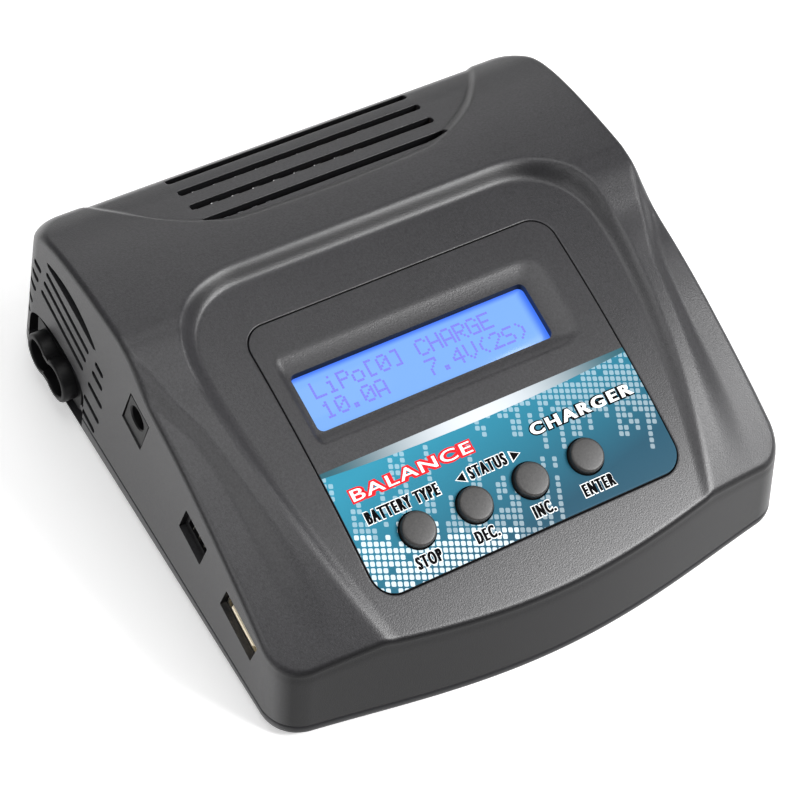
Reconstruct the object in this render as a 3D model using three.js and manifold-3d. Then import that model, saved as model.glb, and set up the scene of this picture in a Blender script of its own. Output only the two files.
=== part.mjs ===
// Balance battery charger: a wedge-shaped desktop case with a sloping control face.
// Millimetres, +Z up, +Y to the back, +X to the right. The origin is on the ground, under the
// centre of the bounding box.

import * as THREE from 'three';
import { mergeVertices } from 'three/addons/utils/BufferGeometryUtils.js';
import Module from 'manifold-3d';

const wasm = await Module();
wasm.setup();

// ---- Driving dimensions ----

const GAP = 0.3; // air between pieces that touch
const WALL = 2.4; // moulded case wall

const CASE_WIDTH = 144;
const CASE_DEPTH = 143.5;
const CASE_TOP_WIDTH = 141;
const BASE_Z = 2; // underside of the lower shell, above the feet
const FRONT_Y = -CASE_DEPTH / 2;
const BACK_Y = CASE_DEPTH / 2;
const PARTING_Z = 5.7; // height of the parting line at the middle of the case
const PARTING_SLOPE = 0.021; // it climbs a little towards the back
const SIDE_REACH = 75; // how far the inlet and the output sockets stand out from the middle

// In side view the face and the lower shoulders beside it are parabolas, given from the
// display's centre.
const DISPLAY_Y = -6.85;
const DISPLAY_Z = 42.4;
const FACE = { rise: 0, slope: 0.218, curve: 0.00182 };
const SHOULDER = { rise: -0.87, slope: 0.2806, curve: 0.0022 };
const FACE_FRONT_Y = FRONT_Y + 4.9; // where the face meets the leaning front wall
const SHOULDER_FRONT_Y = FRONT_Y + 3.5;
const SHOULDER_BACK_Y = DISPLAY_Y + 12; // where the shoulders climb to the raised back
const CREST_Y = DISPLAY_Y + 31;
const CREST_RISE = 8.9;
const BACK_EDGE_DROP = 2.6;

// The face is as wide as this arch, which is sunk into the raised back.
const ARCH_BACK_Y = DISPLAY_Y + 37.6;
const ARCH_HALF_WIDTH = 57;
const ARCH_FRONT_HALF_WIDTH = 44;

const PANEL_HALF_WIDTH = 42.6;
const PANEL_FRONT_Y = DISPLAY_Y - 46.8;
const PANEL_BACK_Y = DISPLAY_Y + 22.5;
const PANEL_CORNER = 4;
const PANEL_FLANGE = 1.2; // the rim under the case that holds the panel
const PANEL_FLANGE_THICK = 1.4;
const LABEL_BACK_Y = DISPLAY_Y - 16;
const LABEL_THICK = 0.3;

const WINDOW_X = -5.3;
const WINDOW_WIDTH = 64.5;
const WINDOW_HEIGHT = 15.6;
const WINDOW_CORNER = 2;
const BEVEL_WIDTH = 70;
const BEVEL_HEIGHT = 22;
const BEVEL_DEPTH = 1;

const KEY_OFFSET_Y = -35.8; // from the display's centre, level with the ground
const KEY_PITCH = 15.54;
const KEY_FIRST_X = -26.9;
const KEY_RADIUS = 4.55;
const KEY_STANDS_OUT = 1.9;
const KEY_CLEARANCE = 0.3;
const KEY_TRAVEL = 0.6;
const KEY_NAMES = ['key_stop', 'key_decrease', 'key_increase', 'key_enter'];

const BOARD_THICK = 1.6;
const MAIN_BOARD_DEPTH = 18.5; // below the face, square to it
const KEY_BOARD_DEPTH = 12.4;

const FAN_SIZE = 25;
const FAN_THICK = 10;
const FAN_Y = 45.5;
const FAN_Z = 30;
const FAN_X = -61;
const BLADE_COUNT = 7;

const INLET_Y = 49.5;
const INLET_Z = 10.7;
const INLET_WIDTH = 24;
const INLET_HEIGHT = 12;
const INLET_LOBE_Y = 4.3; // each lobe and pin to the middle

const OUTPUT_Z = 24;
const OUTPUT_Y = [40, 57];
const CELL_COUNTS = [2, 3, 4, 5, 6];
const PIN_PITCH = 2.5;

const SCREW_PLACES = [[-58, -57.5], [58, -57.5], [-48, 63], [48, 63]];
const FOOT_PLACES = [[-56, -44], [56, -44], [-56, 52], [56, 52]];
const FOOT_RADIUS = 6;

// ---- Materials ----

const plastic = (color, roughness) => new THREE.MeshStandardMaterial({ color, roughness, metalness: 0 });
const metal = (color, roughness) => new THREE.MeshStandardMaterial({ color, roughness, metalness: 1 });

const casePlastic = plastic(0x4e4d51, 0.55);
const lowerPlastic = plastic(0x46454a, 0.5);
const keyPlastic = plastic(0x58555a, 0.5);
const blackPlastic = plastic(0x151515, 0.45);
const whitePlastic = plastic(0xe8e6de, 0.5);
const redPlastic = plastic(0xb01818, 0.4);
const labelFilm = plastic(0x2a7590, 0.35);
const screenGlass = plastic(0x86bfff, 0.15);
const boardGreen = plastic(0x1d5b33, 0.5);
const footRubber = plastic(0x1b1b1b, 0.9);
const copperWire = metal(0xa85f2a, 0.4);
const ferrite = plastic(0x2c2c30, 0.7);
const aluminium = metal(0xb8babd, 0.35);
const tinPlate = metal(0xc8c8c4, 0.3);
const blackMetal = metal(0x202022, 0.5);

// ---- Solids ----

// Shape axes (u, v) and the extrusion's axis, as directions of the case.
const ALONG_X = new THREE.Matrix4().makeBasis(
  new THREE.Vector3(0, 1, 0), new THREE.Vector3(0, 0, 1), new THREE.Vector3(1, 0, 0));
const ALONG_Y = new THREE.Matrix4().makeBasis(
  new THREE.Vector3(1, 0, 0), new THREE.Vector3(0, 0, 1), new THREE.Vector3(0, -1, 0));
const ALONG_Z = new THREE.Matrix4();

function solidOf(geometry) {
  const plain = geometry.clone();
  plain.deleteAttribute('normal');
  plain.deleteAttribute('uv');
  const merged = mergeVertices(plain, 1e-4);
  return new wasm.Manifold(new wasm.Mesh({
    numProp: 3,
    vertProperties: Float32Array.from(merged.attributes.position.array),
    triVerts: Uint32Array.from(merged.index.array),
  }));
}

function geometryOf(solid) {
  const mesh = solid.getMesh();
  const geometry = new THREE.BufferGeometry();
  geometry.setAttribute('position', new THREE.BufferAttribute(mesh.vertProperties, 3));
  geometry.setIndex(new THREE.BufferAttribute(mesh.triVerts, 1));
  geometry.computeVertexNormals();
  return geometry;
}

function extruded(shape, from, to, basis = ALONG_Z, curveSegments = 6) {
  const depth = to - from;
  const geometry = new THREE.ExtrudeGeometry(shape, { depth, bevelEnabled: false, curveSegments });
  geometry.translate(0, 0, from);
  geometry.applyMatrix4(basis);
  return solidOf(geometry);
}

// A side-view shape run right across the case.
function acrossCase(shape, curveSegments = 5) {
  return extruded(shape, -CASE_WIDTH, CASE_WIDTH, ALONG_X, curveSegments);
}

// A plan-view shape run from inside the case to above its face.
function upright(shape) {
  return extruded(shape, 10, DISPLAY_Z + 20);
}

function block(sizeX, sizeY, sizeZ, x = 0, y = 0, z = 0) {
  return solidOf(new THREE.BoxGeometry(sizeX, sizeY, sizeZ).translate(x, y, z));
}

// A cylinder along X, Y or Z, centred on the given point.
function rod(radius, length, axis, x = 0, y = 0, z = 0, sides = 20) {
  const geometry = new THREE.CylinderGeometry(radius, radius, length, sides);
  if (axis === 'x') geometry.rotateZ(-Math.PI / 2);
  if (axis === 'z') geometry.rotateX(Math.PI / 2);
  return solidOf(geometry.translate(x, y, z));
}

function turned(profile, sides = 18) {
  const points = profile.map(([radius, height]) => new THREE.Vector2(radius, height));
  return new THREE.LatheGeometry(points, sides).rotateX(Math.PI / 2);
}

function placed(solid, matrix) {
  return solid.transform(matrix.elements);
}

function roundedRectangle(width, height, radius, x = 0, y = 0) {
  const shape = new THREE.Shape();
  const halfW = width / 2;
  const halfH = height / 2;
  shape.absarc(x + halfW - radius, y - halfH + radius, radius, -Math.PI / 2, 0);
  shape.absarc(x + halfW - radius, y + halfH - radius, radius, 0, Math.PI / 2);
  shape.absarc(x - halfW + radius, y + halfH - radius, radius, Math.PI / 2, Math.PI);
  shape.absarc(x - halfW + radius, y - halfH + radius, radius, Math.PI, 1.5 * Math.PI);
  shape.closePath();
  return shape;
}

// A round-ended slot, lying along u.
function slotShape(length, width, u = 0, v = 0) {
  return roundedRectangle(length, width, width / 2 - 0.01, u, v);
}

const group = new THREE.Group();
group.name = 'balance_charger';

function addPiece(name, shape, material, parent = group) {
  const geometry = shape.isBufferGeometry ? shape : geometryOf(shape);
  const mesh = new THREE.Mesh(geometry, material);
  mesh.name = name;
  parent.add(mesh);
  return mesh;
}

// ---- Frames on the sloping face ----

function heightOn(curve, y) {
  const run = y - DISPLAY_Y;
  return DISPLAY_Z + curve.rise + curve.slope * run - curve.curve * run * run;
}

function slopeOn(curve, y) {
  return curve.slope - 2 * curve.curve * (y - DISPLAY_Y);
}

// Draws the curve between two places, lowered by drop. A parabola is one quadratic stroke.
function strokeAlong(shape, curve, fromY, toY, drop) {
  const controlY = (fromY + toY) / 2;
  const controlZ = heightOn(curve, fromY) + slopeOn(curve, fromY) * (controlY - fromY);
  shape.quadraticCurveTo(controlY, controlZ - drop, toY, heightOn(curve, toY) - drop);
}

// A group whose +Y runs up the face and whose +Z stands square to it.
function faceGroup(y) {
  const frame = new THREE.Group();
  frame.position.set(0, y, heightOn(FACE, y));
  frame.rotation.x = Math.atan(slopeOn(FACE, y));
  frame.updateMatrix();
  group.add(frame);
  return frame;
}

const displayFrame = faceGroup(DISPLAY_Y);
const keyFrame = faceGroup(DISPLAY_Y + KEY_OFFSET_Y);

// ---- Case outline ----

// The face between two depths below its surface, as a shape in side view.
function faceBand(frontY, backY, topDepth, bottomDepth) {
  const shape = new THREE.Shape();
  shape.moveTo(frontY, heightOn(FACE, frontY) - bottomDepth);
  strokeAlong(shape, FACE, frontY, backY, bottomDepth);
  shape.lineTo(backY, heightOn(FACE, backY) - topDepth);
  strokeAlong(shape, FACE, backY, frontY, topDepth);
  shape.closePath();
  return shape;
}

// Side view of the case beside the arch, drawn in by inset: shoulders in front, then the raised
// back, which falls away in one long curve.
function sideOutline(inset, floorZ) {
  const backTop = BACK_Y - 0.6 - inset;
  const shape = new THREE.Shape();
  shape.moveTo(FRONT_Y + inset, floorZ);
  shape.lineTo(BACK_Y - inset, floorZ);
  shape.lineTo(backTop, DISPLAY_Z - BACK_EDGE_DROP - 4 - inset);
  shape.quadraticCurveTo(
    backTop, DISPLAY_Z - BACK_EDGE_DROP - 1 - inset,
    backTop - 1.6, DISPLAY_Z - BACK_EDGE_DROP + 0.6 - inset);
  shape.bezierCurveTo(
    backTop - 9, DISPLAY_Z + 5 - inset,
    CREST_Y + 22, DISPLAY_Z + CREST_RISE - inset,
    CREST_Y, DISPLAY_Z + CREST_RISE - inset);
  shape.bezierCurveTo(
    CREST_Y - 9, DISPLAY_Z + CREST_RISE - inset,
    SHOULDER_BACK_Y + 6, heightOn(SHOULDER, SHOULDER_BACK_Y) + 2.2 - inset,
    SHOULDER_BACK_Y, heightOn(SHOULDER, SHOULDER_BACK_Y) - inset);
  strokeAlong(shape, SHOULDER, SHOULDER_BACK_Y, SHOULDER_FRONT_Y + inset, inset);
  shape.closePath();
  return shape;
}

// Side view of the case under the face.
function archOutline(inset, floorZ) {
  const shape = new THREE.Shape();
  shape.moveTo(FRONT_Y + inset, floorZ);
  shape.lineTo(BACK_Y, floorZ);
  shape.lineTo(BACK_Y, heightOn(FACE, BACK_Y) - inset);
  strokeAlong(shape, FACE, BACK_Y, FACE_FRONT_Y + inset, inset);
  shape.closePath();
  return shape;
}

function archPlan(margin) {
  const half = ARCH_HALF_WIDTH + margin;
  const front = ARCH_FRONT_HALF_WIDTH + margin;
  const back = ARCH_BACK_Y + margin;
  const widestY = DISPLAY_Y + 15;
  const shape = new THREE.Shape();
  shape.moveTo(-front, FRONT_Y - 2);
  shape.lineTo(front, FRONT_Y - 2);
  shape.quadraticCurveTo(half - 2.5, DISPLAY_Y - 18, half, widestY);
  shape.bezierCurveTo(half + 0.4, back - 9, half - 3, back - 0.3, half - 15, back);
  shape.lineTo(15 - half, back);
  shape.bezierCurveTo(3 - half, back - 0.3, -half - 0.4, back - 9, -half, widestY);
  shape.quadraticCurveTo(2.5 - half, DISPLAY_Y - 18, -front, FRONT_Y - 2);
  return shape;
}

// Plan view: straight sides, round back corners and a front that bows out.
function planOutline(inset) {
  const half = CASE_WIDTH / 2 - inset;
  const back = BACK_Y - inset;
  const corner = 9 - inset;
  const bowX = 62 - inset;
  const bowY = FRONT_Y + 7.6 + inset;
  const shape = new THREE.Shape();
  shape.moveTo(-bowX, bowY);
  shape.quadraticCurveTo(0, 2 * (FRONT_Y + inset) - bowY, bowX, bowY);
  shape.quadraticCurveTo(half - 1, bowY + 2.2, half, bowY + 11);
  shape.lineTo(half, back - corner);
  shape.absarc(half - corner, back - corner, corner, 0, Math.PI / 2);
  shape.absarc(-half + corner, back - corner, corner, Math.PI / 2, Math.PI);
  shape.lineTo(-half, bowY + 11);
  shape.quadraticCurveTo(-half + 1, bowY + 2.2, -bowX, bowY);
  return shape;
}

// Front view: walls that lean in slightly, with rounded shoulders.
function frontOutline(inset, floorZ) {
  const bottom = CASE_WIDTH / 2 - inset;
  const top = CASE_TOP_WIDTH / 2 - inset;
  const crownZ = DISPLAY_Z + CREST_RISE + 0.8 - inset;
  const shoulder = 3.4;
  const shape = new THREE.Shape();
  shape.moveTo(-bottom, floorZ);
  shape.lineTo(bottom, floorZ);
  shape.lineTo(top, crownZ - shoulder);
  shape.quadraticCurveTo(top, crownZ - 1, top - shoulder, crownZ - 0.8);
  shape.quadraticCurveTo(0, crownZ, -top + shoulder, crownZ - 0.8);
  shape.quadraticCurveTo(-top, crownZ - 1, -top, crownZ - shoulder);
  shape.closePath();
  return shape;
}

function caseSolid(inset, floorZ) {
  const plan = extruded(planOutline(inset), floorZ - 1, DISPLAY_Z + 20, ALONG_Z, 6);
  const front = extruded(frontOutline(inset, floorZ), -CASE_DEPTH, CASE_DEPTH, ALONG_Y, 3);
  const body = acrossCase(sideOutline(inset, floorZ));
  const underFace = acrossCase(archOutline(inset, floorZ), 6);
  const sunk = extruded(archPlan(inset), floorZ, DISPLAY_Z + 20, ALONG_Z, 4);
  const raised = extruded(archPlan(-inset), floorZ, DISPLAY_Z + 20, ALONG_Z, 4);
  return body.subtract(sunk.subtract(underFace)).add(raised.intersect(underFace))
    .intersect(plan).intersect(front);
}

// Everything above or below the parting plane.
function partingHalf(above, shift) {
  const reach = CASE_DEPTH;
  const far = above ? 80 : -20;
  const shape = new THREE.Shape();
  shape.moveTo(-reach, PARTING_Z - PARTING_SLOPE * reach + shift);
  shape.lineTo(-reach, far);
  shape.lineTo(reach, far);
  shape.lineTo(reach, PARTING_Z + PARTING_SLOPE * reach + shift);
  shape.closePath();
  return extruded(shape, -CASE_WIDTH, CASE_WIDTH, ALONG_X);
}

// ---- Openings in the case ----

const panelPlan = (margin) => roundedRectangle(
  2 * (PANEL_HALF_WIDTH + margin), PANEL_BACK_Y - PANEL_FRONT_Y + 2 * margin, PANEL_CORNER + margin,
  0, (PANEL_BACK_Y + PANEL_FRONT_Y) / 2);

const TOP_SLOTS = { count: 4, length: 68.5, width: 2.2, firstY: DISPLAY_Y + 55, pitch: 6.05 };
const SIDE_SLOTS = { rows: 4, pitch: 4.6, width: 1.8, firstDepth: -14.5, centre: 50.5, length: 23 };
const END_SLOTS = {
  rows: 5, pitch: 4.6, width: 1.8, firstDepth: -17, frontAt: 31.5, frontLength: 8, backAt: 66, backLength: 5,
};
const REAR_VENTS = { count: 9, pitch: 6, width: 2, height: 16, z: 26 };

function topSlots() {
  const slots = [];
  for (let i = 0; i < TOP_SLOTS.count; i += 1) {
    const shape = slotShape(TOP_SLOTS.length, TOP_SLOTS.width, 0, TOP_SLOTS.firstY + i * TOP_SLOTS.pitch);
    slots.push(extruded(shape, DISPLAY_Z - 12, DISPLAY_Z + 12, ALONG_Z, 3));
  }
  return slots;
}

// The vents in front of the fan lie parallel to the sloping face.
function sideSlots() {
  const rows = [];
  const addRow = (at, length, depth) => {
    const shape = slotShape(length, SIDE_SLOTS.width, at, depth);
    const slot = extruded(shape, -CASE_WIDTH / 2 - 3, -CASE_WIDTH / 2 + 6, ALONG_X, 3);
    rows.push(placed(slot, displayFrame.matrix));
  };
  for (let i = 0; i < SIDE_SLOTS.rows; i += 1) {
    addRow(SIDE_SLOTS.centre, SIDE_SLOTS.length, SIDE_SLOTS.firstDepth - i * SIDE_SLOTS.pitch);
  }
  for (let i = 0; i < END_SLOTS.rows; i += 1) {
    const depth = END_SLOTS.firstDepth - i * END_SLOTS.pitch;
    addRow(END_SLOTS.frontAt, END_SLOTS.frontLength, depth);
    addRow(END_SLOTS.backAt, END_SLOTS.backLength, depth);
  }
  return rows;
}

function rearVents() {
  const vents = [];
  for (let i = 0; i < REAR_VENTS.count; i += 1) {
    const x = (i - (REAR_VENTS.count - 1) / 2) * REAR_VENTS.pitch;
    vents.push(block(REAR_VENTS.width, 8, REAR_VENTS.height, x, BACK_Y - 1, REAR_VENTS.z));
  }
  return vents;
}

// Ports on the left wall: place up the face, depth below it, and size along each.
const JACK = { at: 16.1, depth: -12.1, length: 9, height: 11.8, boreDepth: -10.4 };
const SENSOR = { at: -14.4, depth: -14.1, length: 10, height: 8.4 };
const USB = { at: -37.6, depth: -14.7, length: 14.6, height: 7 };

function leftPortHole(port) {
  const hole = block(12, port.length + 2 * GAP, port.height + 2 * GAP, -CASE_WIDTH / 2 + 2, port.at, port.depth);
  return placed(hole, displayFrame.matrix);
}

// Balance sockets sit in one row along the main board's right edge.
const SOCKET = { height: 5.8, depth: 10, spacing: 1.4, wall: 0.8 };
const socketWidth = (cells) => PIN_PITCH * cells + 4.9;
const socketRowLength = CELL_COUNTS.reduce(
  (sum, cells) => sum + socketWidth(cells) + SOCKET.spacing, -SOCKET.spacing);
const SOCKET_ROW_START = -45;
const SOCKET_Z = -MAIN_BOARD_DEPTH + GAP + SOCKET.height / 2;

function socketRowHole() {
  const hole = block(
    14, socketRowLength + 1.2, SOCKET.height + 2 * GAP,
    CASE_WIDTH / 2, SOCKET_ROW_START + socketRowLength / 2, SOCKET_Z);
  return placed(hole, displayFrame.matrix);
}

const outputHoles = OUTPUT_Y.map((y) => rod(4.6, 14, 'x', CASE_WIDTH / 2, y, OUTPUT_Z));
const inletHole = block(
  14, INLET_WIDTH + 2 * GAP, INLET_HEIGHT + 2 * GAP, -CASE_WIDTH / 2, INLET_Y, INLET_Z);

// ---- Upper and lower shell ----

function screwBosses() {
  return SCREW_PLACES.map(([x, y]) => {
    const top = y < 0 ? heightOn(SHOULDER, y) : DISPLAY_Z + 4;
    const bottom = PARTING_Z + PARTING_SLOPE * y + 1.5;
    return rod(3.6, top - bottom, 'z', x, y, (top + bottom) / 2, 16)
      .subtract(rod(1.35, 14, 'z', x, y, bottom + 6, 12));
  });
}

function makeUpperShell() {
  let shell = caseSolid(0, BASE_Z);
  shell = shell.subtract(caseSolid(WALL, BASE_Z - 5));
  shell = shell.intersect(partingHalf(true, GAP / 2));
  for (const boss of screwBosses()) {
    shell = shell.add(boss.intersect(caseSolid(WALL - 0.4, BASE_Z - 5)));
  }
  const cutters = [
    upright(panelPlan(GAP)),
    ...topSlots(),
    ...sideSlots(),
    ...rearVents(),
    ...[JACK, SENSOR, USB].map(leftPortHole),
    socketRowHole(),
    ...outputHoles,
    inletHole,
  ];
  for (const cutter of cutters) {
    shell = shell.subtract(cutter);
  }
  return shell;
}

function makeLowerShell() {
  let tray = caseSolid(0, BASE_Z).subtract(caseSolid(WALL, BASE_Z + WALL));
  tray = tray.intersect(partingHalf(false, -GAP / 2));
  for (const [x, y] of SCREW_PLACES) {
    const top = PARTING_Z + PARTING_SLOPE * y + 1.5 - GAP;
    tray = tray.add(rod(3.6, top - BASE_Z - 1, 'z', x, y, (top + BASE_Z + 1) / 2, 16));
    tray = tray.subtract(rod(1.9, 20, 'z', x, y, BASE_Z + 5, 14));
    tray = tray.subtract(rod(3.3, 4.4, 'z', x, y, BASE_Z, 16));
  }
  for (const [x, y] of FOOT_PLACES) {
    tray = tray.subtract(rod(FOOT_RADIUS + GAP, 1.6, 'z', x, y, BASE_Z, 24));
  }
  return tray.subtract(inletHole);
}

addPiece('upper_shell', makeUpperShell(), casePlastic);
addPiece('lower_shell', makeLowerShell(), lowerPlastic);

// ---- Control panel, label and display ----

function keyHoles(radius) {
  return KEY_NAMES.map((name, i) => placed(
    rod(radius, 12, 'z', KEY_FIRST_X + i * KEY_PITCH, 0, 0, 20), keyFrame.matrix));
}

function makePanel() {
  const band = acrossCase(faceBand(PANEL_FRONT_Y, PANEL_BACK_Y, 0, WALL + GAP));
  let panel = band.intersect(upright(panelPlan(0)));
  const rimFront = PANEL_FRONT_Y - PANEL_FLANGE;
  const rimBack = PANEL_BACK_Y + PANEL_FLANGE;
  const top = WALL + GAP + 0.2;
  const rim = acrossCase(faceBand(rimFront, rimBack, top - 0.3, top + PANEL_FLANGE_THICK));
  const rimTrim = acrossCase(faceBand(rimFront, rimBack, top, top + 5));
  const rimPlan = upright(panelPlan(PANEL_FLANGE));
  const rimRing = rim.intersect(rimPlan);
  const inner = upright(panelPlan(-0.5));
  panel = panel.add(rimRing.intersect(inner)).add(rimRing.intersect(rimTrim));
  const labelBed = acrossCase(faceBand(PANEL_FRONT_Y - 5, LABEL_BACK_Y, -5, LABEL_THICK + GAP));
  panel = panel.subtract(labelBed.intersect(upright(panelPlan(-0.1))));
  const window = extruded(roundedRectangle(WINDOW_WIDTH, WINDOW_HEIGHT, WINDOW_CORNER, WINDOW_X, 0), -12, 12);
  const bevel = extruded(
    roundedRectangle(BEVEL_WIDTH, BEVEL_HEIGHT, WINDOW_CORNER + 1, WINDOW_X + 0.5, 2), -BEVEL_DEPTH, 12);
  panel = panel.subtract(placed(window, displayFrame.matrix));
  panel = panel.subtract(placed(bevel, displayFrame.matrix));
  for (const hole of keyHoles(KEY_RADIUS + KEY_CLEARANCE)) {
    panel = panel.subtract(hole);
  }
  return panel;
}

function makeLabel() {
  const band = acrossCase(faceBand(PANEL_FRONT_Y, LABEL_BACK_Y - GAP, 0, LABEL_THICK));
  let label = band.intersect(upright(panelPlan(-0.4)));
  for (const hole of keyHoles(KEY_RADIUS + KEY_CLEARANCE)) {
    label = label.subtract(hole);
  }
  return label;
}

addPiece('front_panel', makePanel(), casePlastic);
addPiece('overlay_label', makeLabel(), labelFilm);

const GLASS_TOP = -WALL - 3;
const GLASS_THICK = 2.6;
const FRAME_THICK = 3.4;
const LIGHT_THICK = 2.4;
const MODULE_WIDTH = 80;
const MODULE_HEIGHT = 32;

function makeDisplayFrame() {
  const outer = block(71.2, 24.4, FRAME_THICK, WINDOW_X, 0, GLASS_TOP + 0.5 - FRAME_THICK / 2);
  const room = block(67, 20, FRAME_THICK, WINDOW_X, 0, GLASS_TOP - FRAME_THICK / 2);
  const mouth = block(WINDOW_WIDTH + 0.6, WINDOW_HEIGHT + 0.6, 10, WINDOW_X, 0, GLASS_TOP);
  return outer.subtract(room).subtract(mouth);
}

const glassZ = GLASS_TOP - GAP - GLASS_THICK / 2;
const lightZ = GLASS_TOP - 2 * GAP - GLASS_THICK - LIGHT_THICK / 2;
const moduleZ = lightZ - LIGHT_THICK / 2 - GAP - BOARD_THICK / 2;
addPiece('display_frame', makeDisplayFrame(), blackMetal, displayFrame);
addPiece('display_glass', block(66.2, 19.2, GLASS_THICK, WINDOW_X, 0, glassZ), screenGlass, displayFrame);
addPiece('display_backlight', block(71, 24, LIGHT_THICK, WINDOW_X, 0, lightZ), whitePlastic, displayFrame);
const moduleBoard = block(MODULE_WIDTH, MODULE_HEIGHT, BOARD_THICK, WINDOW_X, 0, moduleZ);
addPiece('display_board', moduleBoard, boardGreen, displayFrame);

// ---- Keys, their switches and their board ----

const SWITCH_SIZE = 6;
const SWITCH_HEIGHT = 3.4;
const PLUNGER_HEIGHT = 1.4;
const keyFlangeTop = -WALL - PANEL_FLANGE_THICK - 3 * GAP;
const stemBottom = -KEY_BOARD_DEPTH + SWITCH_HEIGHT + PLUNGER_HEIGHT + KEY_TRAVEL + 2 * GAP;

function makeKey() {
  const top = KEY_STANDS_OUT;
  return turned([
    [0, stemBottom], [2.2, stemBottom], [2.2, keyFlangeTop - 1], [5.6, keyFlangeTop - 1],
    [5.6, keyFlangeTop], [KEY_RADIUS, keyFlangeTop], [KEY_RADIUS, top - 0.7], [KEY_RADIUS - 0.2, top - 0.3],
    [KEY_RADIUS - 0.6, top - 0.08], [0, top],
  ]);
}

function makeSwitch() {
  const body = block(SWITCH_SIZE, SWITCH_SIZE, SWITCH_HEIGHT, 0, 0, SWITCH_HEIGHT / 2);
  return body.add(rod(1.7, PLUNGER_HEIGHT + 1, 'z', 0, 0, SWITCH_HEIGHT + PLUNGER_HEIGHT / 2 - 0.5, 14));
}

KEY_NAMES.forEach((name, i) => {
  const x = KEY_FIRST_X + i * KEY_PITCH;
  const key = addPiece(name, makeKey(), keyPlastic, keyFrame);
  key.position.set(x, 0, 0);
  const tact = addPiece(name.replace('key', 'switch'), makeSwitch(), blackPlastic, keyFrame);
  tact.position.set(x, 0, -KEY_BOARD_DEPTH);
});
const keyRowX = KEY_FIRST_X + 1.5 * KEY_PITCH;
const keyBoardZ = -KEY_BOARD_DEPTH - GAP - BOARD_THICK / 2;
addPiece('key_board', block(66, 13, BOARD_THICK, keyRowX, 0, keyBoardZ), boardGreen, keyFrame);

// ---- Main board and what stands on it ----

const MAIN_BOARD = { front: -46, back: 34, left: -67, right: 66 };
const mainBoard = block(
  MAIN_BOARD.right - MAIN_BOARD.left, MAIN_BOARD.back - MAIN_BOARD.front, BOARD_THICK,
  (MAIN_BOARD.right + MAIN_BOARD.left) / 2, (MAIN_BOARD.back + MAIN_BOARD.front) / 2,
  -MAIN_BOARD_DEPTH - BOARD_THICK / 2);
addPiece('main_board', mainBoard, boardGreen, displayFrame);

const PORT_FACE_X = -CASE_WIDTH / 2 + 2.2; // outer face of the left ports, just inside the wall

function makeJack() {
  const body = block(13.5, JACK.length, JACK.height, 6.75, 0, 0);
  const bore = rod(3.15, 22, 'x', 0, 0, JACK.boreDepth - JACK.depth, 24);
  const pin = rod(1, 10.5, 'x', 6.75, 0, JACK.boreDepth - JACK.depth, 12);
  return body.subtract(bore).add(pin);
}

const jack = addPiece('dc_jack', makeJack(), blackPlastic, displayFrame);
jack.position.set(PORT_FACE_X, JACK.at, JACK.depth);

function makeSensorPort() {
  const body = block(11, SENSOR.length, SENSOR.height, 5.5, 0, 0);
  let port = body.subtract(block(16, SENSOR.length - 1.8, SENSOR.height - 3, 0, 0, 0.6));
  for (const rib of [-2.4, 0, 2.4]) {
    port = port.subtract(block(16, 1.2, 1.2, 0, rib, SENSOR.height / 2 - 0.9));
  }
  for (const pin of [-PIN_PITCH, 0, PIN_PITCH]) {
    port = port.add(block(8, 0.7, 0.7, 6, pin, 0.4));
  }
  return port;
}

const sensor = addPiece('sensor_port', makeSensorPort(), blackPlastic, displayFrame);
sensor.position.set(PORT_FACE_X, SENSOR.at, SENSOR.depth);

const usbShellSolid = block(14, USB.length, USB.height, 7, 0, 0)
  .subtract(block(26, USB.length - 1, USB.height - 1, 0, 0, 0));
const usbShell = addPiece('usb_shell', usbShellSolid, tinPlate, displayFrame);
usbShell.position.set(PORT_FACE_X, USB.at, USB.depth);
const usbTongue = addPiece('usb_tongue', block(10, 11.2, 1.9, 7, 0, 1), whitePlastic, displayFrame);
usbTongue.position.copy(usbShell.position);

function makeBalanceSocket(cells) {
  const width = socketWidth(cells);
  const body = block(SOCKET.depth, width, SOCKET.height, -SOCKET.depth / 2, 0, 0);
  return body.subtract(block(
    2 * SOCKET.depth - 3, width - 2 * SOCKET.wall, SOCKET.height - 2 * SOCKET.wall, 0, 0, 0));
}

let rowAt = SOCKET_ROW_START;
for (const cells of CELL_COUNTS) {
  const socket = addPiece(`balance_socket_${cells}s`, makeBalanceSocket(cells), whitePlastic, displayFrame);
  socket.position.set(CASE_WIDTH / 2 - 0.4, rowAt + socketWidth(cells) / 2, SOCKET_Z);
  rowAt += socketWidth(cells) + SOCKET.spacing;
}

const buzzer = addPiece('buzzer', rod(6, 8, 'z', 0, 0, 4), blackPlastic, displayFrame);
buzzer.position.set(50, 24, -MAIN_BOARD_DEPTH + GAP);

// ---- Output sockets: 4 mm bananas, on the right wall ----

function makeOutputSocket() {
  const collar = SIDE_REACH - CASE_WIDTH / 2;
  return turned([
    [0, -16], [3.2, -16], [3.2, -4], [4.3, -4], [4.3, 0.4], [5.6, 0.4], [5.6, collar - 0.4], [5.2, collar],
    [2.05, collar], [2.05, -12], [0, -12],
  ]);
}

OUTPUT_Y.forEach((y, i) => {
  const material = i === 0 ? redPlastic : blackPlastic;
  const name = i === 0 ? 'output_socket_red' : 'output_socket_black';
  const socket = addPiece(name, makeOutputSocket(), material);
  socket.position.set(CASE_WIDTH / 2, y, OUTPUT_Z);
  socket.rotation.y = Math.PI / 2;
});

// ---- Mains inlet: a two-pin appliance inlet, low on the left wall ----

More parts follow.
